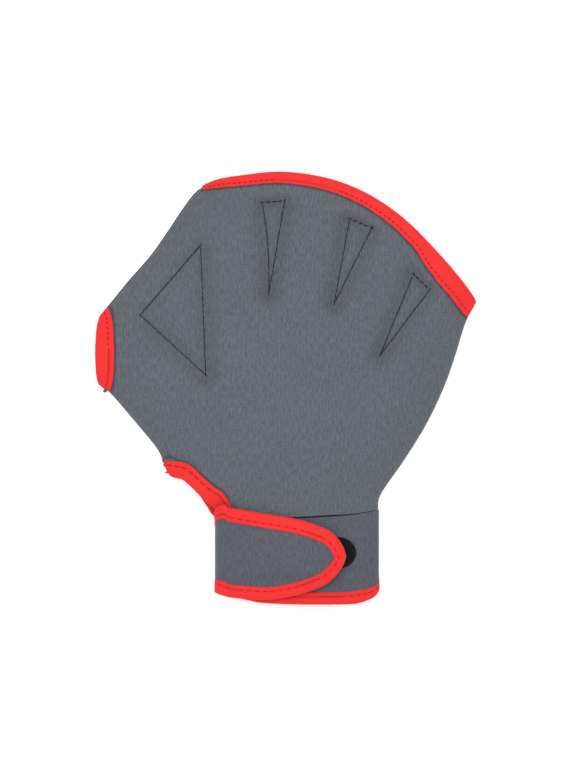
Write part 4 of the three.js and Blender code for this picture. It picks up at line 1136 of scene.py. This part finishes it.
def cordAlong(name, path, radius, material):
    # Thin overlocked seam: a round section carried along the path, its girth rippled by the
    # loops of the thread
    f = seamForm
    ahead = unit(np.gradient(path, axis=0))
    up = np.tile([0.0, 0.0, 1.0], (len(path), 1))
    aside = unit(np.cross(up, ahead))
    up = np.cross(ahead, aside)
    run = runOf(path)
    girth = np.broadcast_to(radius, len(path)) * (1 + f["twist"] * np.sin(2 * np.pi * run / f["pitch"]))
    girth = girth * np.sqrt(np.clip(np.minimum(run, run[-1] - run) / f["endFade"], 0.04, 1.0))
    angle = 2 * np.pi * np.arange(f["sides"]) / f["sides"]
    ring = np.cos(angle)[:, None] * aside[:, None] + np.sin(angle)[:, None] * up[:, None]
    points = path[:, None] + girth[:, None, None] * ring
    rows, sides = len(path), f["sides"]
    k = np.arange(rows * sides).reshape(rows, sides)
    turned = np.roll(k, -1, axis=1)
    quads = np.stack([k[:-1], turned[:-1], turned[1:], k[1:]], axis=-1).reshape(-1, 4)
    around = np.broadcast_to(radius, len(path))[:, None] * angle
    uv = np.stack([np.broadcast_to(run[:, None], points.shape[:2]), around], axis=-1)
    return meshPiece(name, points.reshape(-1, 3), quads, uv.reshape(-1, 2), material,
                     sharpAngle=80, caps=[k[0][::-1].tolist(), k[-1].tolist()])


def sidePath(edge, cut=(2.0, 2.0)):
    # Where the two panels meet at a side, less a length cut at each end
    line = outlines["palm"][edge]
    plan = pointsAt(line, np.arange(cut[0], runOf(line)[-1] - cut[1], seamForm["step"]))
    return np.column_stack([plan, np.full(len(plan), clothForm["seamHeight"])])


def wristPath(side, cut=(3.0, 1.0)):
    line = outlines[side]["wrist"]
    plan = pointsAt(line, np.arange(cut[0], runOf(line)[-1] - cut[1], seamForm["step"]))
    plan[:, 1] -= clothForm["seamGap"] / 2
    point, normal = outerFace(side, plan)
    return point - seamForm["wristSink"] * normal


thinRadius = seamForm["sideRadius"] * seamForm["thinShare"]
wristLine = wristPath("palm")
backWristLine = wristPath("back") + np.array([0.0, 0.0, seamForm["wristSink"]])
seamLines = [
    cordAlong("upperSeam", sidePath("upper"), seamForm["sideRadius"], blackThread),
    cordAlong("rightSeam", sidePath("right", (0.5, 2.0)), thinRadius, greyThread),
    cordAlong("lowerSeam", sidePath("lower", (4.5, 5.0)), thinRadius, greyThread),
    # Wrist seam: black thread and painted gap shadow in one cord
    cordAlong("wristSeamAndGapShadow", wristLine, np.interp(wristLine[:, 0], *seamForm["wristThreadAndShadowGirth"]), blackThread),
    cordAlong("wristSeamBack", backWristLine, seamForm["wristBack"], blackThread),
]
print("stage: seams made")

# Floor, light and camera

studio = {
    "worldColour": "#ffffff",
    "worldStrength": 1.5,
    "keyPower": 0.8,  # watts
    "keySize": 0.25,  # metres, as its place
    "keyPlace": (-0.03, 0.03, 0.34),
    "viewCentre": (-4.77, 0.53, 8.0),  # millimetres, as the two below
    "distance": 2000.0,
    "frameHeight": 407.0,  # seen by the picture's longer side
    "sensor": 36.0,
    "floorGrain": 400.0,
    "floorShades": (0.9, 0.93),
    "floorHalf": 3.0,  # metres, as the next
    "floorDrop": 0.0002,
}
floorMaterial = bpy.data.materials.new("pale_paper_floor")
floorMaterial.use_nodes = True
floorTree = floorMaterial.node_tree
floorShader = floorTree.nodes["Principled BSDF"]
floorNoise = addNode(floorTree, "ShaderNodeTexNoise", {"Scale": studio["floorGrain"], "Detail": 2.0},
                     {"Vector": addNode(floorTree, "ShaderNodeTexCoord").outputs["Object"]})
floorLow, floorHigh = studio["floorShades"]
floorRamp = addNode(floorTree, "ShaderNodeMapRange", {"To Min": floorLow, "To Max": floorHigh},
                    {"Value": floorNoise.outputs["Fac"]})
floorTree.links.new(floorRamp.outputs[0], floorShader.inputs["Base Color"])
floorShader.inputs["Roughness"].default_value = 0.9
floorMesh = bpy.data.meshes.new("floor")
h = studio["floorHalf"]
floorMesh.from_pydata([(-h, -h, 0), (h, -h, 0), (h, h, 0), (-h, h, 0)], [], [(0, 1, 2, 3)])
floorMesh.materials.append(floorMaterial)
floor = bpy.data.objects.new("floor", floorMesh)
bpy.context.scene.collection.objects.link(floor)
floor.location.z = -studio["floorDrop"]

world = bpy.data.worlds.new("studio")
bpy.context.scene.world = world
world.use_nodes = True
world.node_tree.nodes["Background"].inputs["Color"].default_value = linearColour(studio["worldColour"])
world.node_tree.nodes["Background"].inputs["Strength"].default_value = studio["worldStrength"]


def areaLight(name, place, power, size):
    # Aimed at the origin
    lamp = bpy.data.lights.new(name, "AREA")
    lamp.energy, lamp.size = power, size
    light = bpy.data.objects.new(name, lamp)
    light.location = place
    light.rotation_mode = "QUATERNION"
    light.rotation_quaternion = (-light.location).to_track_quat("-Z", "Y")
    light.visible_camera = False
    bpy.context.scene.collection.objects.link(light)


areaLight("keyLight", studio["keyPlace"], studio["keyPower"], studio["keySize"])

cameraData = bpy.data.cameras.new("camera")
cameraData.sensor_width = studio["sensor"]
cameraData.lens = studio["sensor"] * studio["distance"] / studio["frameHeight"]
cameraData.clip_start, cameraData.clip_end = 0.05, 20.0
camera = bpy.data.objects.new("camera", cameraData)
x, y, z = studio["viewCentre"]
camera.location = (x / 1000, y / 1000, (z + studio["distance"]) / 1000)
bpy.context.scene.collection.objects.link(camera)
bpy.context.scene.camera = camera
bpy.context.scene.view_settings.view_transform = "Standard"
bpy.context.view_layer.update()

print("stage: camera and light set")
